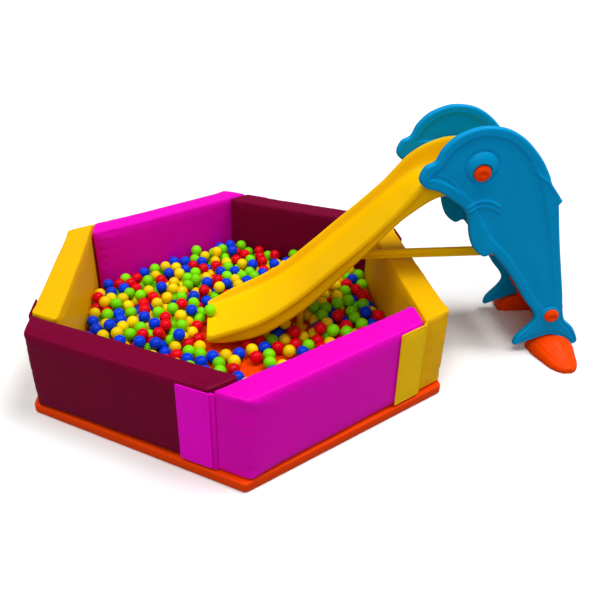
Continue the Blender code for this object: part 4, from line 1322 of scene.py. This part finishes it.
    def _rest_height(self, spot: np.ndarray, balls: np.ndarray) -> float:
        """How high a ball's centre is when it is let down.

        Args:
            spot: Where it is let down.
            balls: The balls round that spot.

        Returns:
            The height.
        """
        room = (2 * BALL_RADIUS) ** 2 - ((balls[:, :2] - spot) ** 2).sum(1)
        touching = room > 0
        if not touching.any():
            return BALL_REST
        return max(BALL_REST, float((balls[touching, 2] + np.sqrt(room[touching])).max()))

    def _settled(self, spot: np.ndarray) -> np.ndarray:
        """Rolls a ball downhill until it rests.

        Args:
            spot: Where it is let down.

        Returns:
            Where its centre comes to rest.
        """
        balls = np.array(self.placed)
        balls = balls[((balls[:, :2] - spot) ** 2).sum(1) < self.neighbours**2]
        if not len(balls):
            return np.array([*spot, BALL_REST])
        height = self._rest_height(spot, balls)
        step, smallest = self.roll_steps
        while step > smallest:
            for turn in range(8):
                other = spot + step * compass(turn * math.pi / 4)
                if self._inside(other[0], other[1]) < 0:
                    continue
                lower = self._rest_height(other, balls)
                if lower < height - 1e-5:
                    spot, height = other, lower
                    break
            else:
                step /= 2
        return np.array([*spot, height + 0.0004])

    @staticmethod
    def ball() -> EditMesh:
        """One ball: a cube blown up to a sphere.

        Returns:
            The ball.
        """
        ball = bmesh.new()
        bmesh.ops.create_cube(ball, size=2)
        bmesh.ops.subdivide_edges(ball, edges=ball.edges[:], cuts=3, use_grid_fill=True)
        for vert in ball.verts:
            x2, y2, z2 = (part * part for part in vert.co)
            others = ((y2, z2), (x2, z2), (x2, y2))
            blown = [p * math.sqrt(max(0, 1 - a / 2 - b / 2 + a * b / 3)) for p, (a, b) in zip(vert.co, others)]
            vert.co = Vector(blown).normalized() * BALL_RADIUS
        return ball

    def _piece(self, finish: Finishes, balls: list[np.ndarray]) -> None:
        """Makes all balls of one colour one piece, each with its own tone.

        Args:
            finish: The colour.
            balls: Their centres.
        """
        shape = mesh_of("ball", self.ball())
        generator = random.Random(finish.value.name)
        whole = bmesh.new()
        for centre in balls:
            first_vert = len(whole.verts)
            whole.from_mesh(shape)
            whole.verts.ensure_lookup_table()
            turn = Matrix.Rotation(generator.uniform(0, 6), 4, Vector((generator.random(), generator.random(), 1)))
            bmesh.ops.transform(whole, matrix=Matrix.Translation(centre) @ turn, verts=whole.verts[first_vert:])
        each = len(shape.vertices)
        bpy.data.meshes.remove(shape)
        made = piece(finish.value.name + "s", whole, finish, "pit", None, ("ball_filling",))
        tones = [generator.random() for _ in balls]
        give_tone(made, [tones[i // each] for i in range(len(balls) * each)])


# ---------------------------------------------------------------------------------------------------------------
# Slide


@dataclass
class Chute:
    """The trough and the lugs under it."""

    half_width: float = 0.24
    wall: float = 0.16
    floor_thick: float = 0.022
    wall_thick: float = 0.026
    skirt: float = 0.042
    rim: float = 0.012
    lip_drop: float = 0.03
    lip_reach: float = 0.009
    lug_wall: float = 0.008
    lug_bore: float = 0.0203
    leg_lug_drop: float = 0.045
    leg_lug_radii: tuple[float, float, float] = (0.026, 0.028, 0.029)
    bar_lug_length: float = 0.06
    # Shares of the run, the rise, the half width, the wall and the skirt, from the low end
    stations: tuple[tuple[float, float, float, float, float], ...] = (
        (0.000, 0.000, 0.771, 0.110, 0.52),
        (0.015, 0.001, 0.842, 0.150, 0.56),
        (0.047, 0.006, 0.883, 0.225, 0.63),
        (0.096, 0.027, 0.942, 0.312, 0.74),
        (0.152, 0.063, 0.987, 0.344, 0.87),
        (0.208, 0.105, 1.000, 0.344, 1.00),
        (0.264, 0.159, 0.983, 0.344, 1.00),
        (0.320, 0.222, 0.958, 0.344, 1.00),
        (0.376, 0.298, 0.938, 0.344, 0.94),
        (0.460, 0.430, 0.913, 0.344, 0.76),
        (0.544, 0.565, 0.905, 0.344, 0.50),
        (0.629, 0.704, 0.865, 0.344, 0.26),
        (0.690, 0.806, 0.835, 0.356, 0.20),
    )
    # The same between the panels, which set its width there
    top_stations: tuple[tuple[float, float, float, float], ...] = (
        (0.730, 0.868, 0.388, 0.26),
        (0.776, 0.937, 0.487, 0.40),
        (0.811, 0.976, 0.613, 0.50),
        (0.846, 0.995, 0.762, 0.60),
        (0.881, 1.000, 0.906, 0.60),
        (0.923, 1.000, 0.988, 0.60),
        (1.000, 1.000, 1.000, 0.60),
    )

    def __post_init__(self) -> None:
        """Works out the line that the trough follows."""
        self._line = self.line()

    def line(self) -> np.ndarray:
        """Place along the slide, floor height, half width, wall and skirt at even steps along the chute.

        Returns:
            The lines through the stations.
        """
        found = [(run, up, width * self.half_width, wall, skirt) for run, up, width, wall, skirt in self.stations]
        found += [(run, up, INSIDE_HALF, wall, skirt) for run, up, wall, skirt in self.top_stations]
        scale = np.array([CHUTE_RUN, DECK_HEIGHT - CHUTE_LOW, 1, self.wall, self.skirt])
        smooth = curve_through(np.array(found) * scale + np.array([CHUTE_END, CHUTE_LOW, 0, 0, 0]), 120)
        between = smooth[:, 0] > CHUTE_END + 0.70 * CHUTE_RUN
        smooth[between, 2] = np.minimum(smooth[between, 2], INSIDE_HALF)
        smooth[:, 1] = np.minimum(smooth[:, 1], DECK_HEIGHT)
        smooth[:, 3] = np.minimum(smooth[:, 3], self.wall)
        return smooth

    def at(self, x: float, column: int) -> float:
        """One column of the line at a place along the slide."""
        return float(np.interp(x, self._line[:, 0], self._line[:, column]))

    def floor(self, x: float) -> float:
        """Height of the floor at a place along the slide."""
        return self.at(x, 1)

    def clearance(self, place: Vector) -> float:
        """About how far a place is from the chute's solid.

        Args:
            place: The place in the slide's frame.

        Returns:
            The distance, 0 inside it.
        """
        if place.x < CHUTE_END - 0.1:
            return 1.0
        x = min(max(place.x, CHUTE_END), CHUTE_TOP)
        floor, half, wall = (self.at(x, column) for column in (1, 2, 3))
        out = max(abs(place.y) - half, CHUTE_END - place.x, 0.0)
        up = max(floor - self.skirt - 0.004 - place.z, place.z - floor - wall, 0.0)
        return math.hypot(out, up)

    def section(self, half: float, wall: float, skirt: float) -> list[tuple]:
        """Half of a section.

        Args:
            half: Half its width.
            wall: Height of its side wall.
            skirt: Depth of its skirt.

        Returns:
            Distance from the middle and height of each point, and True where it has a corner.
        """
        inside = half - self.wall_thick
        lip = max(wall - self.lip_drop, -self.floor_thick / 2)
        crown = wall - self.rim / 2
        return [
            (0, 0),
            (inside * 2 / 3, 0),
            (inside - self.wall_thick / 2, wall / 6),
            (inside, max(crown - self.rim, wall / 3)),
            (inside + self.rim / 2, crown),
            (half - self.rim, wall),
            (half - self.rim / 3, crown),
            (half, max(crown - self.rim, lip + self.rim / 4)),
            (half, lip, True),
            (half - self.lip_reach, lip - self.rim / 4, True),
            (half - self.lip_reach, -skirt, True),
            (half - self.wall_thick, -skirt, True),
            (half - self.wall_thick * 4 / 3, -self.floor_thick, True),
            (0, -self.floor_thick),
        ]

    def build(self) -> None:
        """Makes the trough with its lugs."""
        line = self._line
        rows = []
        for number, (x, z, half, wall, skirt) in enumerate(line):
            before, after = line[max(number - 1, 0)], line[min(number + 1, len(line) - 1)]
            slope = math.atan2(after[1] - before[1], after[0] - before[0])
            share = number / (len(line) - 1)
            lean = slope * float(eased(min(share, 1 - share), 0.0, 0.04))
            right = self.section(half, wall, skirt)
            dense = closed_curve(right + [(-y, up, *corner) for y, up, *corner in right[-2:0:-1]], pieces=4)
            rows.append([(x - up * math.sin(lean), y, z + up * math.cos(lean)) for y, up in dense])
        trough = swept(np.array(rows))
        caps = [e for e in sharp_edges(trough, math.radians(60)) if len({round(v.co.x, 3) for v in e.verts}) == 1]
        caps = [e for e in caps if min(abs(e.verts[0].co.x - end) for end in (CHUTE_END, CHUTE_TOP)) < 1e-3]
        rounded(trough, caps, 0.003, 2)
        whole = joined([bored(trough, bolt_bores(EYE)), self._leg_lug(), self._bar_lug()])
        slide_piece("chute_shell", whole, Finishes.CHUTE, "chute")

    def _leg_lug(self) -> EditMesh:
        """The socket for the leg, whose top follows the floor.

        Returns:
            The socket.
        """
        top = self.floor(LEG_X) - self.floor_thick / 2
        low = self.floor(LEG_X) - self.floor_thick * 2 - self.leg_lug_drop
        end, edge, root = self.leg_lug_radii
        profile = [(self.lug_bore, low), (end, low), (edge, low + 0.002), (root, top), (self.lug_bore, top)]
        lug = turned_shape(profile, (LEG_X, 0, 0), 32)
        for vert in lug.verts:
            if vert.co.z > top - 1e-4:
                vert.co.z = self.floor(vert.co.x) - self.floor_thick * 0.6
        return lug

    def _bar_lug(self) -> EditMesh:
        """The socket for the brace bar.

        Returns:
            The socket.
        """
        half_wide, half_tall = (size / 2 + self.lug_wall for size in BAR_SIZE)
        lug = bmesh.new()
        bmesh.ops.create_cube(lug, size=1)
        for vert in lug.verts:
            x = BAR_START - self.lug_wall if vert.co.x < 0 else BAR_START + self.bar_lug_length
            top = self.floor(x) - self.floor_thick / 2
            vert.co = Vector((x, half_wide * 2 * vert.co.y, top if vert.co.z > 0 else BAR_HEIGHT - half_tall))
        rounded(lug, lug.edges[:], 0.004, 2)
        return lug


@dataclass
class DolphinPanels:
    """The two side panels: a rounded rim round a sunk face, an eye dome, gills, a mouth and the bolts' seats."""

    voxel: float = 0.0036
    edge_round: float = 0.015
    bore: float = 0.0203
    dome_radius: float = 0.076
    dome_rise: float = 0.0265
    dome_sink: float = 0.0085
    dome_up: float = 0.024
    eye_seat: float = 0.046
    eye_rise: float = 0.0015
    tail_seat: float = 0.047
    tail_rise: float = 0.005
    face_sink: float = 0.003
    head_sink: float = 0.005
    face_crown: float = 0.003
    inner_sink: float = 0.009
    # Rise, reach and distance of each moulded line on the outer face
    dorsal_line: Moulding = (0.0045, 0.008, 0)
    fin_line: Moulding = (0.005, 0.035, 0)
    gill_line: Moulding = (0.0075, 0.0065, 0)
    lip_line: Moulding = (0.003, 0.014, 0)
    mouth_groove: Moulding = (-0.0055, 0.0045, 0)
    fluke_groove: Moulding = (-0.004, 0.006, 0.02)
    dome_groove: Moulding = (-0.0045, 0.006, 0.004)
    tail_groove: Moulding = (-0.002, 0.004, 0.052)
    # Where the fluke's groove ends, in shares of the height, and where the inner face is sunk above the deck
    fluke_end: Pair = (0.13, 0.17)
    inner_start: Pair = (0.125, 0.137)
    gill: Pair = (0.33881, 0.70204)
    gill_length: float = 0.15
    gill_bow: float = 0.03
    gill_step: float = 0.026
    # Shares of the length from the nose and of the height, with True at the corners
    outline: tuple[tuple, ...] = (
        (0.000, 0.797), (0.021, 0.847), (0.069, 0.869), (0.098, 0.917), (0.154, 0.963), (0.230, 0.991),
        (0.301, 1.000), (0.403, 0.987), (0.496, 0.944), (0.588, 0.868), (0.645, 0.797), (0.663, 0.765),
        (0.736, 0.691, True), (0.721, 0.675, True), (0.772, 0.504), (0.847, 0.280), (0.894, 0.139),
        (0.958, 0.087), (1.000, 0.018), (0.961, 0.000), (0.842, 0.055), (0.709, 0.023), (0.644, 0.005),
        (0.650, 0.046), (0.728, 0.144), (0.646, 0.243), (0.546, 0.359), (0.457, 0.443), (0.427, 0.466),
        (0.384, 0.454), (0.326, 0.491), (0.291, 0.553), (0.273, 0.620), (0.244, 0.667), (0.169, 0.713),
        (0.098, 0.747), (0.038, 0.761),
    )  # fmt: skip
    face: tuple[Pair, ...] = (
        (0.050, 0.806), (0.100, 0.846), (0.140, 0.900), (0.190, 0.937), (0.245, 0.958), (0.305, 0.965),
        (0.385, 0.954), (0.465, 0.917), (0.548, 0.846), (0.600, 0.775), (0.645, 0.680), (0.722, 0.500),
        (0.792, 0.300), (0.812, 0.200), (0.770, 0.185), (0.700, 0.245), (0.590, 0.370), (0.490, 0.470),
        (0.400, 0.540), (0.320, 0.640), (0.270, 0.705), (0.190, 0.752), (0.110, 0.785),
    )  # fmt: skip
    mouth: tuple[Pair, ...] = ((0.045, 0.800), (0.085, 0.806), (0.130, 0.794), (0.180, 0.762), (0.225, 0.725))
    dorsal: tuple[Pair, ...] = ((0.530, 0.850), (0.567, 0.814), (0.640, 0.772), (0.712, 0.716))
    fin: tuple[Pair, ...] = ((0.360, 0.580), (0.370, 0.530), (0.385, 0.490))

    @staticmethod
    def scaled(points: Iterable[tuple]) -> list[tuple]:
        """Shares of the panel as places in the slide's X and Z."""
        return [(NOSE_X + p[0] * PANEL_LENGTH, PANEL_LOW + p[1] * PANEL_HEIGHT, *p[2:]) for p in points]

    def build(self) -> None:
        """Makes the near panel, and the far one as its mirror image."""
        half = (PANEL_OUTER - PANEL_INNER) / 2
        middle = (PANEL_OUTER + PANEL_INNER) / 2
        loop = closed_curve(self.scaled(self.outline))
        profile = [(0, -0.05), (self.bore, -0.05), (self.bore, 0.05), (0, 0.05)]
        bores = [turned_shape(profile, (x, 0, z), 32, "Y") for x, z in (EYE, TAIL_BOLT)]
        even = remeshed(bored(prism(loop, -half, half, "Y"), bores), self.voxel)
        places = coordinates(even)
        plan = places[:, [0, 2]]
        depth = distance_to_loop(plan, loop)
        inside = distance_to_loop(plan, closed_curve(self.scaled(self.face)))
        outer, inner = self._relief(plan, depth, inside)
        share = np.clip(places[:, 1] / half, -1, 1)
        sunk = np.clip(self.edge_round - depth, 0, self.edge_round)
        rounding = self.edge_round - np.sqrt(np.clip(self.edge_round**2 - sunk**2, 0, None))
        rounding = np.minimum(rounding, half * 0.85)
        outward = share * (half - rounding + np.where(share > 0, outer, inner))
        for side, label in ((-1, "near"), (1, "far")):
            panel = even.copy()
            set_coordinates(panel, np.column_stack([places[:, 0], side * (middle + outward), places[:, 2]]))
            slide_piece(f"dolphin_{label}", panel, Finishes.BLUE, f"side_panel_{label}")
        even.free()

    def _relief(self, plan: np.ndarray, depth: np.ndarray, inside: np.ndarray) -> tuple[np.ndarray, np.ndarray]:
        """How far each place stands out from the flat outer and inner faces.

        Args:
            plan: Places in the slide's X and Z.
            depth: Their distances inside the outline.
            inside: Their distances inside the sunk face.

        Returns:
            The outer and the inner relief.
        """
        x, z = plan.T
        sink = self.face_sink + self.head_sink * eased(z, 0.45, 0.85)
        outer = self.face_crown * eased(inside, 0.01, 0.09) - sink * eased(inside, -0.004, 0.010)
        outer += self._ridge(plan, self.dorsal, self.dorsal_line) + self._ridge(plan, self.fin, self.fin_line)
        gill_x, gill_z = self.scaled([self.gill])[0]
        for row in (0, 1):
            high = gill_z - row * self.gill_step
            shares = np.linspace(-0.5, 0.5, 17)
            bow = [(gill_x + s * self.gill_length, high - self.gill_bow * 4 * s**2) for s in shares]
            outer += moulded(distance_to_path(plan, bow), self.gill_line)
        away = distance_to_path(plan, curve_through(self.scaled(self.mouth), 20))
        outer += moulded(away, self.lip_line) + moulded(away, self.mouth_groove)
        fluke = 1 - eased(z, *(PANEL_LOW + share * PANEL_HEIGHT for share in self.fluke_end))
        outer += moulded(depth, self.fluke_groove) * fluke
        off = np.hypot(x - EYE[0], z - EYE[1] - self.dome_up)
        dome = -self.dome_sink + self.dome_rise * np.sqrt(np.clip(1 - (off / self.dome_radius) ** 2, 0, 1))
        outer += moulded(off - self.dome_radius, self.dome_groove)
        outer = np.where(off < self.dome_radius, np.maximum(outer, dome), outer)
        seat = eased(self.eye_seat - np.hypot(x - EYE[0], z - EYE[1]), -0.001, 0.003)
        outer = outer * (1 - seat) + self.eye_rise * seat
        tail_off = np.hypot(x - TAIL_BOLT[0], z - TAIL_BOLT[1])
        tail = eased(self.tail_seat - tail_off, -0.003, 0.002)
        outer += moulded(tail_off, self.tail_groove)
        outer = outer * (1 - tail) + self.tail_rise * tail
        above_deck = eased(z, *(DECK_HEIGHT + up for up in self.inner_start))
        inner = -self.inner_sink * eased(inside, -0.003, 0.008) * above_deck
        return outer, inner

    def _ridge(self, plan: np.ndarray, path: Sequence[Pair], line: Moulding) -> np.ndarray:
        """The relief of one moulded ridge, given by its path as shares of the panel."""
        return moulded(distance_to_path(plan, curve_through(self.scaled(path), 24)), line)


@dataclass
class Bolts:
    """The four large slotted bolts."""

    shank: float = 0.02
    rise: float = 0.022
    edge: float = 0.006
    inner_end: float = 0.184
    dish: float = 0.003
    dish_radius: float = 0.019
    slot: Pair = (0.018, 0.012)
    # Label, axis, radius of the head and distance of its seat from the slide's middle
    kinds: tuple[tuple[str, Pair, float, float], ...] = (
        ("eye", EYE, 0.041, 0.2405),
        ("tail", TAIL_BOLT, 0.037, 0.244),
    )

    def build(self) -> None:
        """Makes every bolt on its own axis."""
        for label, (x, z), head, seat in self.kinds:
            for side, place_name in ((-1, "near"), (1, "far")):
                bolt = self._shape(head, seat + 0.0003)
                if side < 0:
                    bmesh.ops.rotate(bolt, verts=bolt.verts, matrix=Matrix.Rotation(math.pi, 3, "X"))
                bmesh.ops.translate(bolt, verts=bolt.verts, vec=(x, 0, z))
                name = f"{label}_bolt_{place_name}"
                slide_piece(f"{name}_head", bolt, Finishes.BASE, name, body=name)

    def _shape(self, head: float, back: float) -> EditMesh:
        """A bolt that points along +Y, with the slot cut in its head.

        Args:
            head: Radius of the head.
            back: Where the head starts.

        Returns:
            The bolt.
        """
        end, top = self.inner_end, back + self.rise
        profile = [(0, end), (self.shank - 0.002, end), (self.shank, end + 0.002)]
        profile += [(self.shank, back), (head - 0.001, back), (head, back + 0.001), (head, back + self.edge)]
        for turn in np.linspace(0, math.pi / 2, 10)[1:-3]:
            profile.append((head * math.cos(turn), back + self.edge + (self.rise - self.edge) * math.sin(turn)))
        profile += [(self.dish_radius, top - 0.0004), (self.dish_radius - 0.003, top - self.dish)]
        profile.append((0, top - self.dish))
        slot = brick((head, *self.slot), (0, top, 0))
        rounded(slot, [e for e in slot.edges if abs(e.verts[0].co.y - e.verts[1].co.y) > 0.01], 0.004, 4)
        return bored(turned_shape(profile, (0, 0, 0), 56, "Y"), [slot], soften=0.0012)


@dataclass
class Treads:
    """The deck and the two steps: moulded treads, open underneath, with low ribs across the top."""

    wall: float = 0.012
    edge_round: float = 0.008
    rib_wide: float = 0.007
    rib_rise: float = 0.0015
    rib_spacing: float = 0.022

    def build(self) -> None:
        """Makes the three treads where their CAD nodes are."""
        for name, finish in (("deck", Finishes.CHUTE), ("step_high", Finishes.BASE), ("step_low", Finishes.BASE)):
            places = [SLIDE_FRAME.inverted() @ node_point for node_point in node_places(name)]
            low, high = (Vector([end(place[axis] for place in places) for axis in range(3)]) for end in (min, max))
            slide_piece(f"{name}_tread", joined([self.slab(low, high), *self.ribs(low, high)]), finish, name)

    def slab(self, low: Vector, high: Vector, hollow: bool = True) -> EditMesh:
        """A rounded slab.

        Args:
            low: Its lowest corner.
            high: Its highest corner.
            hollow: Whether it is hollowed from below.

        Returns:
            The slab.
        """
        mesh_edit = bmesh.new()
        bmesh.ops.create_cube(mesh_edit, size=1)
        for vert in mesh_edit.verts:
            vert.co = Vector([high[axis] if vert.co[axis] > 0 else low[axis] for axis in range(3)])
        above = [e for e in mesh_edit.edges if max(v.co.z for v in e.verts) > low.z + 1e-4]
        rounded(mesh_edit, above, self.edge_round, 4)
        if hollow:
            mesh_edit.normal_update()
            under = [face for face in mesh_edit.faces if face.normal.z < -0.99]
            bmesh.ops.inset_region(mesh_edit, faces=under, thickness=self.wall)
            core = bmesh.ops.extrude_face_region(mesh_edit, geom=under)
            lifted = [item for item in core["geom"] if isinstance(item, bmesh.types.BMVert)]
            bmesh.ops.translate(mesh_edit, verts=lifted, vec=(0, 0, high.z - low.z - self.wall))
            bmesh.ops.delete(mesh_edit, geom=under, context="FACES_ONLY")
        return mesh_edit

    def ribs(self, low: Vector, high: Vector) -> list[EditMesh]:
        """Low ribs across a tread, clear of its rounded edges.

        Args:
            low: The tread's lowest corner.
            high: Its highest corner.

        Returns:
            The ribs.
        """
        found = []
        count = int((high.x - low.x - 4 * self.edge_round) / self.rib_spacing)
        size = (self.rib_wide, high.y - low.y - 4 * self.edge_round, 2 * self.rib_rise)
        for number in range(count + 1):
            rib = brick(size, ((low.x + high.x) / 2 + (number - count / 2) * self.rib_spacing, 0, high.z))
            rounded(rib, [e for e in rib.edges if max(v.co.z for v in e.verts) > high.z], 0.0012, 2)
            found.append(rib)
        return found


@dataclass
class BaseStep:
    """The base: a tread, a leaning riser, two cheeks and a tongue-shaped foot out to each side."""

    treads: Treads
    thick: float = 0.035
    riser: float = 0.03
    cheek: float = 0.018
    foot_reach: float = 0.445
    foot_width: float = 0.236
    foot_height: float = 0.105
    foot_edge: float = 0.012
    groove_depth: float = 0.0032
    groove_reach: float = 0.0045
    grooves: tuple[float, ...] = (0.020, 0.044, 0.068)
    # Shares of the panel's length from the nose, and of the deck's height
    front: float = 0.76489
    back: float = 0.89528
    foot_back: float = 0.95791
    foot_middle: float = 0.85216
    top: float = 0.28192
    # Shares of the reach, the width and the height of a foot, from the cheek to its tip
    foot: tuple[Point, ...] = (
        (0.00, 1.00, 1.00),
        (0.30, 0.95, 0.94),
        (0.55, 0.79, 0.74),
        (0.78, 0.63, 0.53),
        (0.92, 0.43, 0.40),
        (1.00, 0.18, 0.30),
    )
    # Front edge of a cheek: share of the tread's depth before its back edge, share of its height
    cheek_front: tuple[Pair, ...] = (
        (1.02, 0.0),
        (0.95, 0.25),
        (0.45, 0.42),
        (0.56, 0.62),
        (0.83, 0.80),
        (0.98, 0.93),
    )

    def build(self) -> None:
        """Makes the base in one piece."""
        front, back, foot_back = (NOSE_X + share * PANEL_LENGTH for share in (self.front, self.back, self.foot_back))
        top = self.top * DECK_HEIGHT
        low = Vector((front, -INSIDE_HALF, top - self.thick))
        high = Vector((back, INSIDE_HALF, top))
        edge = self.treads.edge_round
        meet = top - self.thick + edge
        parts = [bored(self.treads.slab(low, high, False), bolt_bores(TAIL_BOLT)), *self.treads.ribs(low, high)]
        leaning = [(foot_back - self.riser, 0), (foot_back, 0), (back - edge, meet), (back - edge - self.riser, meet)]
        riser = prism(leaning, -INSIDE_HALF + 0.0002, INSIDE_HALF - 0.0002, "Y")
        rounded(riser, sharp_edges(riser), 0.003, 2)
        parts.append(riser)
        outline = [(back - share * (back - front), up * meet) for share, up in self.cheek_front]
        outline += [(front + edge, meet), (back - 2 * edge, meet), (foot_back - edge, 0)]
        for side in (-1, 1):
            inner, outer = sorted((side * (INSIDE_HALF - self.cheek), side * (INSIDE_HALF - 0.0001)))
            cheek = prism(outline, inner, outer, "Y")
            rounded(cheek, sharp_edges(cheek), 0.003, 2)
            parts.append(bored(cheek, bolt_bores(TAIL_BOLT)))
            parts.append(self._foot(side))
        slide_piece("base_moulding", joined(parts), Finishes.BASE, "base_step")

    def _foot(self, side: int) -> EditMesh:
        """One tongue, domed, with mould lines that follow its edge.

        Args:
            side: 1 for the far side or -1 for the near side.

        Returns:
            The tongue.
        """
        middle = NOSE_X + self.foot_middle * PANEL_LENGTH
        inner = INSIDE_HALF - self.cheek / 2
        stations = curve_through(self.foot, 64)
        stations[:, 0] = np.clip(stations[:, 0], 0, 1)
        rows = []
        for reach, width, height in stations:
            half, tall = width * self.foot_width / 2, height * self.foot_height
            edge = min(self.foot_edge, tall / 2)
            y = inner + reach * (self.foot_reach - inner)
            ring = [(middle - half, y, 0)]
            for turn in np.linspace(0, math.pi, 44):
                ring.append((middle - half * math.cos(turn), y, edge + (tall - edge) * math.sin(turn)))
            rows.append([*ring, (middle + half, y, 0)])
        rows = np.array(rows)
        edge_line = np.vstack([rows[:, 0, :2], rows[::-1, -1, :2]])
        flat = rows.reshape(-1, 3)
        inset = distance_to_loop(flat[:, :2], edge_line)
        inset[np.abs(inset) < 1e-5] = 0
        grooves = sum(bell(inset, at, self.groove_reach) for at in self.grooves)
        flat[:, 2] -= self.groove_depth * grooves * (flat[:, 2] > self.foot_edge)
        rows = flat.reshape(rows.shape)
        rows[..., 1] *= side
        foot = swept(rows)
        end = self.foot_reach - 1e-4
        tip = [e for e in sharp_edges(foot, math.radians(50)) if min(abs(v.co.y) for v in e.verts) > end]
        rounded(foot, tip, 0.004, 3)
        return foot


@dataclass
class Supports:
    """The leg under the chute, the brace bar and the tube that it ends in."""

    leg_radius: float = 0.02
    foot_radius: float = 0.042
    foot_thick: float = 0.012
    bar_ridge: float = 0.005
    bar_seat: float = 0.0037
    tube_radius: float = 0.021
    tube_bore: float = 0.015

    def build(self) -> None:
        """Makes the three pieces."""
        top = max(place.z for place in node_places("chute_leg")) - 0.0002
        low, thick, foot, leg = WALL_BOTTOM, self.foot_thick, self.foot_radius, self.leg_radius
        profile = [(0, low), (foot - 0.002, low), (foot, low + 0.002), (foot, low + thick / 2)]
        profile += [(foot - 0.003, low + thick * 0.8), (leg + 0.006, low + thick), (leg + 0.001, low + thick * 1.5)]
        profile += [(leg, low + thick * 2), (leg, top), (0, top)]
        slide_piece("chute_post", turned_shape(profile, (LEG_X, 0, 0), 40), Finishes.CHUTE, "chute_leg")
        wide, tall, ridge = BAR_SIZE[0] / 2, BAR_SIZE[1] / 2, self.bar_ridge
        half = [(wide - ridge, -tall, True), (wide - ridge, -tall / 3), (wide, 0)]
        half += [(wide - ridge, tall / 3), (wide - ridge, tall, True)]
        outline = closed_curve(half + [(-y, z, *corner) for y, z, *corner in reversed(half)], pieces=4)
        along = np.linspace(BAR_START, TUBE_X - self.tube_radius + self.bar_seat, 30)
        bar = swept(np.array([[(x, y, BAR_HEIGHT + z) for y, z in outline] for x in along]))
        rounded(bar, sharp_edges(bar, math.radians(50)), 0.0025, 3)
        slide_piece("brace_rail", bar, Finishes.CHUTE, "brace_bar")
        reach, r, bore = INSIDE_HALF - 0.0001, self.tube_radius, self.tube_bore
        profile = [(bore, -reach), (r - 0.002, -reach), (r, -reach + 0.002)]
        profile += [(r, reach - 0.002), (r - 0.002, reach), (bore, reach)]
        tube = turned_shape(profile, (TUBE_X, 0, BAR_HEIGHT), 40, "Y")
        slide_piece("cross_rail", tube, Finishes.CHUTE, "cross_tube")


# ---------------------------------------------------------------------------------------------------------------
# Studio


@dataclass
class Studio:
    """Camera, lights, a pale floor and a white background."""

    eye: Point = (-0.10986, -3.00871, 2.03279)
    yaw: float = 0.0529236
    pitch: float = 0.4855113
    roll: float = -0.0241559
    lens: float = 37.2736
    shift: Pair = (0.09619, -0.05190)
    # Name, strength, turns in degrees and spread in degrees of each distant light
    suns: tuple[tuple[str, float, Point, float], ...] = (
        ("key", 1.8, (0, 24, 0), 26),
        ("top", 1.35, (8, -14, 0), 30),
        ("fill", 0.7, (60, 0, -20), 50),
        ("side", 0.2, (0, 68, 0), 50),
    )

    def build(self) -> None:
        """Sets up everything that isn't the object."""
        self._camera()
        self._floor()
        self._world()
        for name, strength, turns, spread in self.suns:
            data = bpy.data.lights.new(name, "SUN")
            data.energy = strength
            data.angle = math.radians(spread)
            linked(name, data).rotation_euler = [math.radians(turn) for turn in turns]
        bpy.context.scene.view_settings.view_transform = "Standard"

    def _camera(self) -> None:
        """A camera that sees the object as the picture does."""
        yaw, pitch, roll = self.yaw, self.pitch, self.roll
        forward = Vector((math.sin(yaw) * math.cos(pitch), math.cos(yaw) * math.cos(pitch), -math.sin(pitch)))
        right = Vector((math.cos(yaw), -math.sin(yaw), 0))
        up = right.cross(forward)
        across = math.cos(roll) * right + math.sin(roll) * up
        above = -math.sin(roll) * right + math.cos(roll) * up
        data = bpy.data.cameras.new("camera")
        data.sensor_width, data.lens = 36, self.lens
        data.shift_x, data.shift_y = self.shift
        camera = linked("camera", data)
        turned = Matrix((across, above, -forward)).transposed().to_4x4()
        camera.matrix_world = Matrix.Translation(self.eye) @ turned
        bpy.context.scene.camera = camera

    def _floor(self) -> None:
        """A plain floor under the object."""
        plane = bmesh.new()
        bmesh.ops.create_grid(plane, x_segments=1, y_segments=1, size=30)
        floor = linked("floor", mesh_of("floor", plane))
        floor.location.z = -0.0005
        paint = bpy.data.materials.new("floor_paint")
        tree = ShaderTree(paint)
        shade = tree.blend(tree.node("LightPath", "Is Camera Ray"), (0.3, 0.3, 0.3), (0.97, 0.97, 0.97))
        tree.surface(Base_Color=shade, Roughness=1.0, Specular_IOR_Level=0.0)
        floor.data.materials.append(paint)

    def _world(self) -> None:
        """White to the camera and a soft grey room to everything else."""
        world = bpy.data.worlds.new("studio")
        bpy.context.scene.world = world
        tree = ShaderTree(world)
        seen = tree.node("LightPath", "Is Camera Ray")
        white = tree.node("Background", inputs={"Color": (1, 1, 1), "Strength": 1.0})
        room = tree.node("Background", inputs={"Color": (1, 1, 1), "Strength": 0.2})
        shader = tree.node("MixShader", inputs={0: seen, 1: room, 2: white})
        tree.node("OutputWorld", inputs={"Surface": shader})


class KeptNodes:
    """CAD nodes whose shape is right and that only get a finish."""

    def build(self) -> None:
        """Gives each kept node its finish."""
        for name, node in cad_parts.items():
            finish = Finishes.ORANGE if name == "mat_base_sheet" else None
            if name.startswith(("wall_zip", "hook_strip", "loop_strip")):
                finish = Finishes.TAPE
            if finish:
                for slot in node.material_slots:
                    slot.material = finish.value.material()


def main() -> None:
    """Builds every piece and the studio."""
    logging.basicConfig(level=logging.INFO)
    chute, treads = Chute(), Treads()
    pit = (KeptNodes(), FoamBlocks(), CornerFlaps(), FloorMat(), LooseBalls(chute))
    slide = (chute, DolphinPanels(), Bolts(), treads, BaseStep(treads), Supports())
    for part in (*pit, *slide, Studio()):
        part.build()
        LOG.info("built %s", type(part).__name__)


if __name__ == "__main__":
    main()
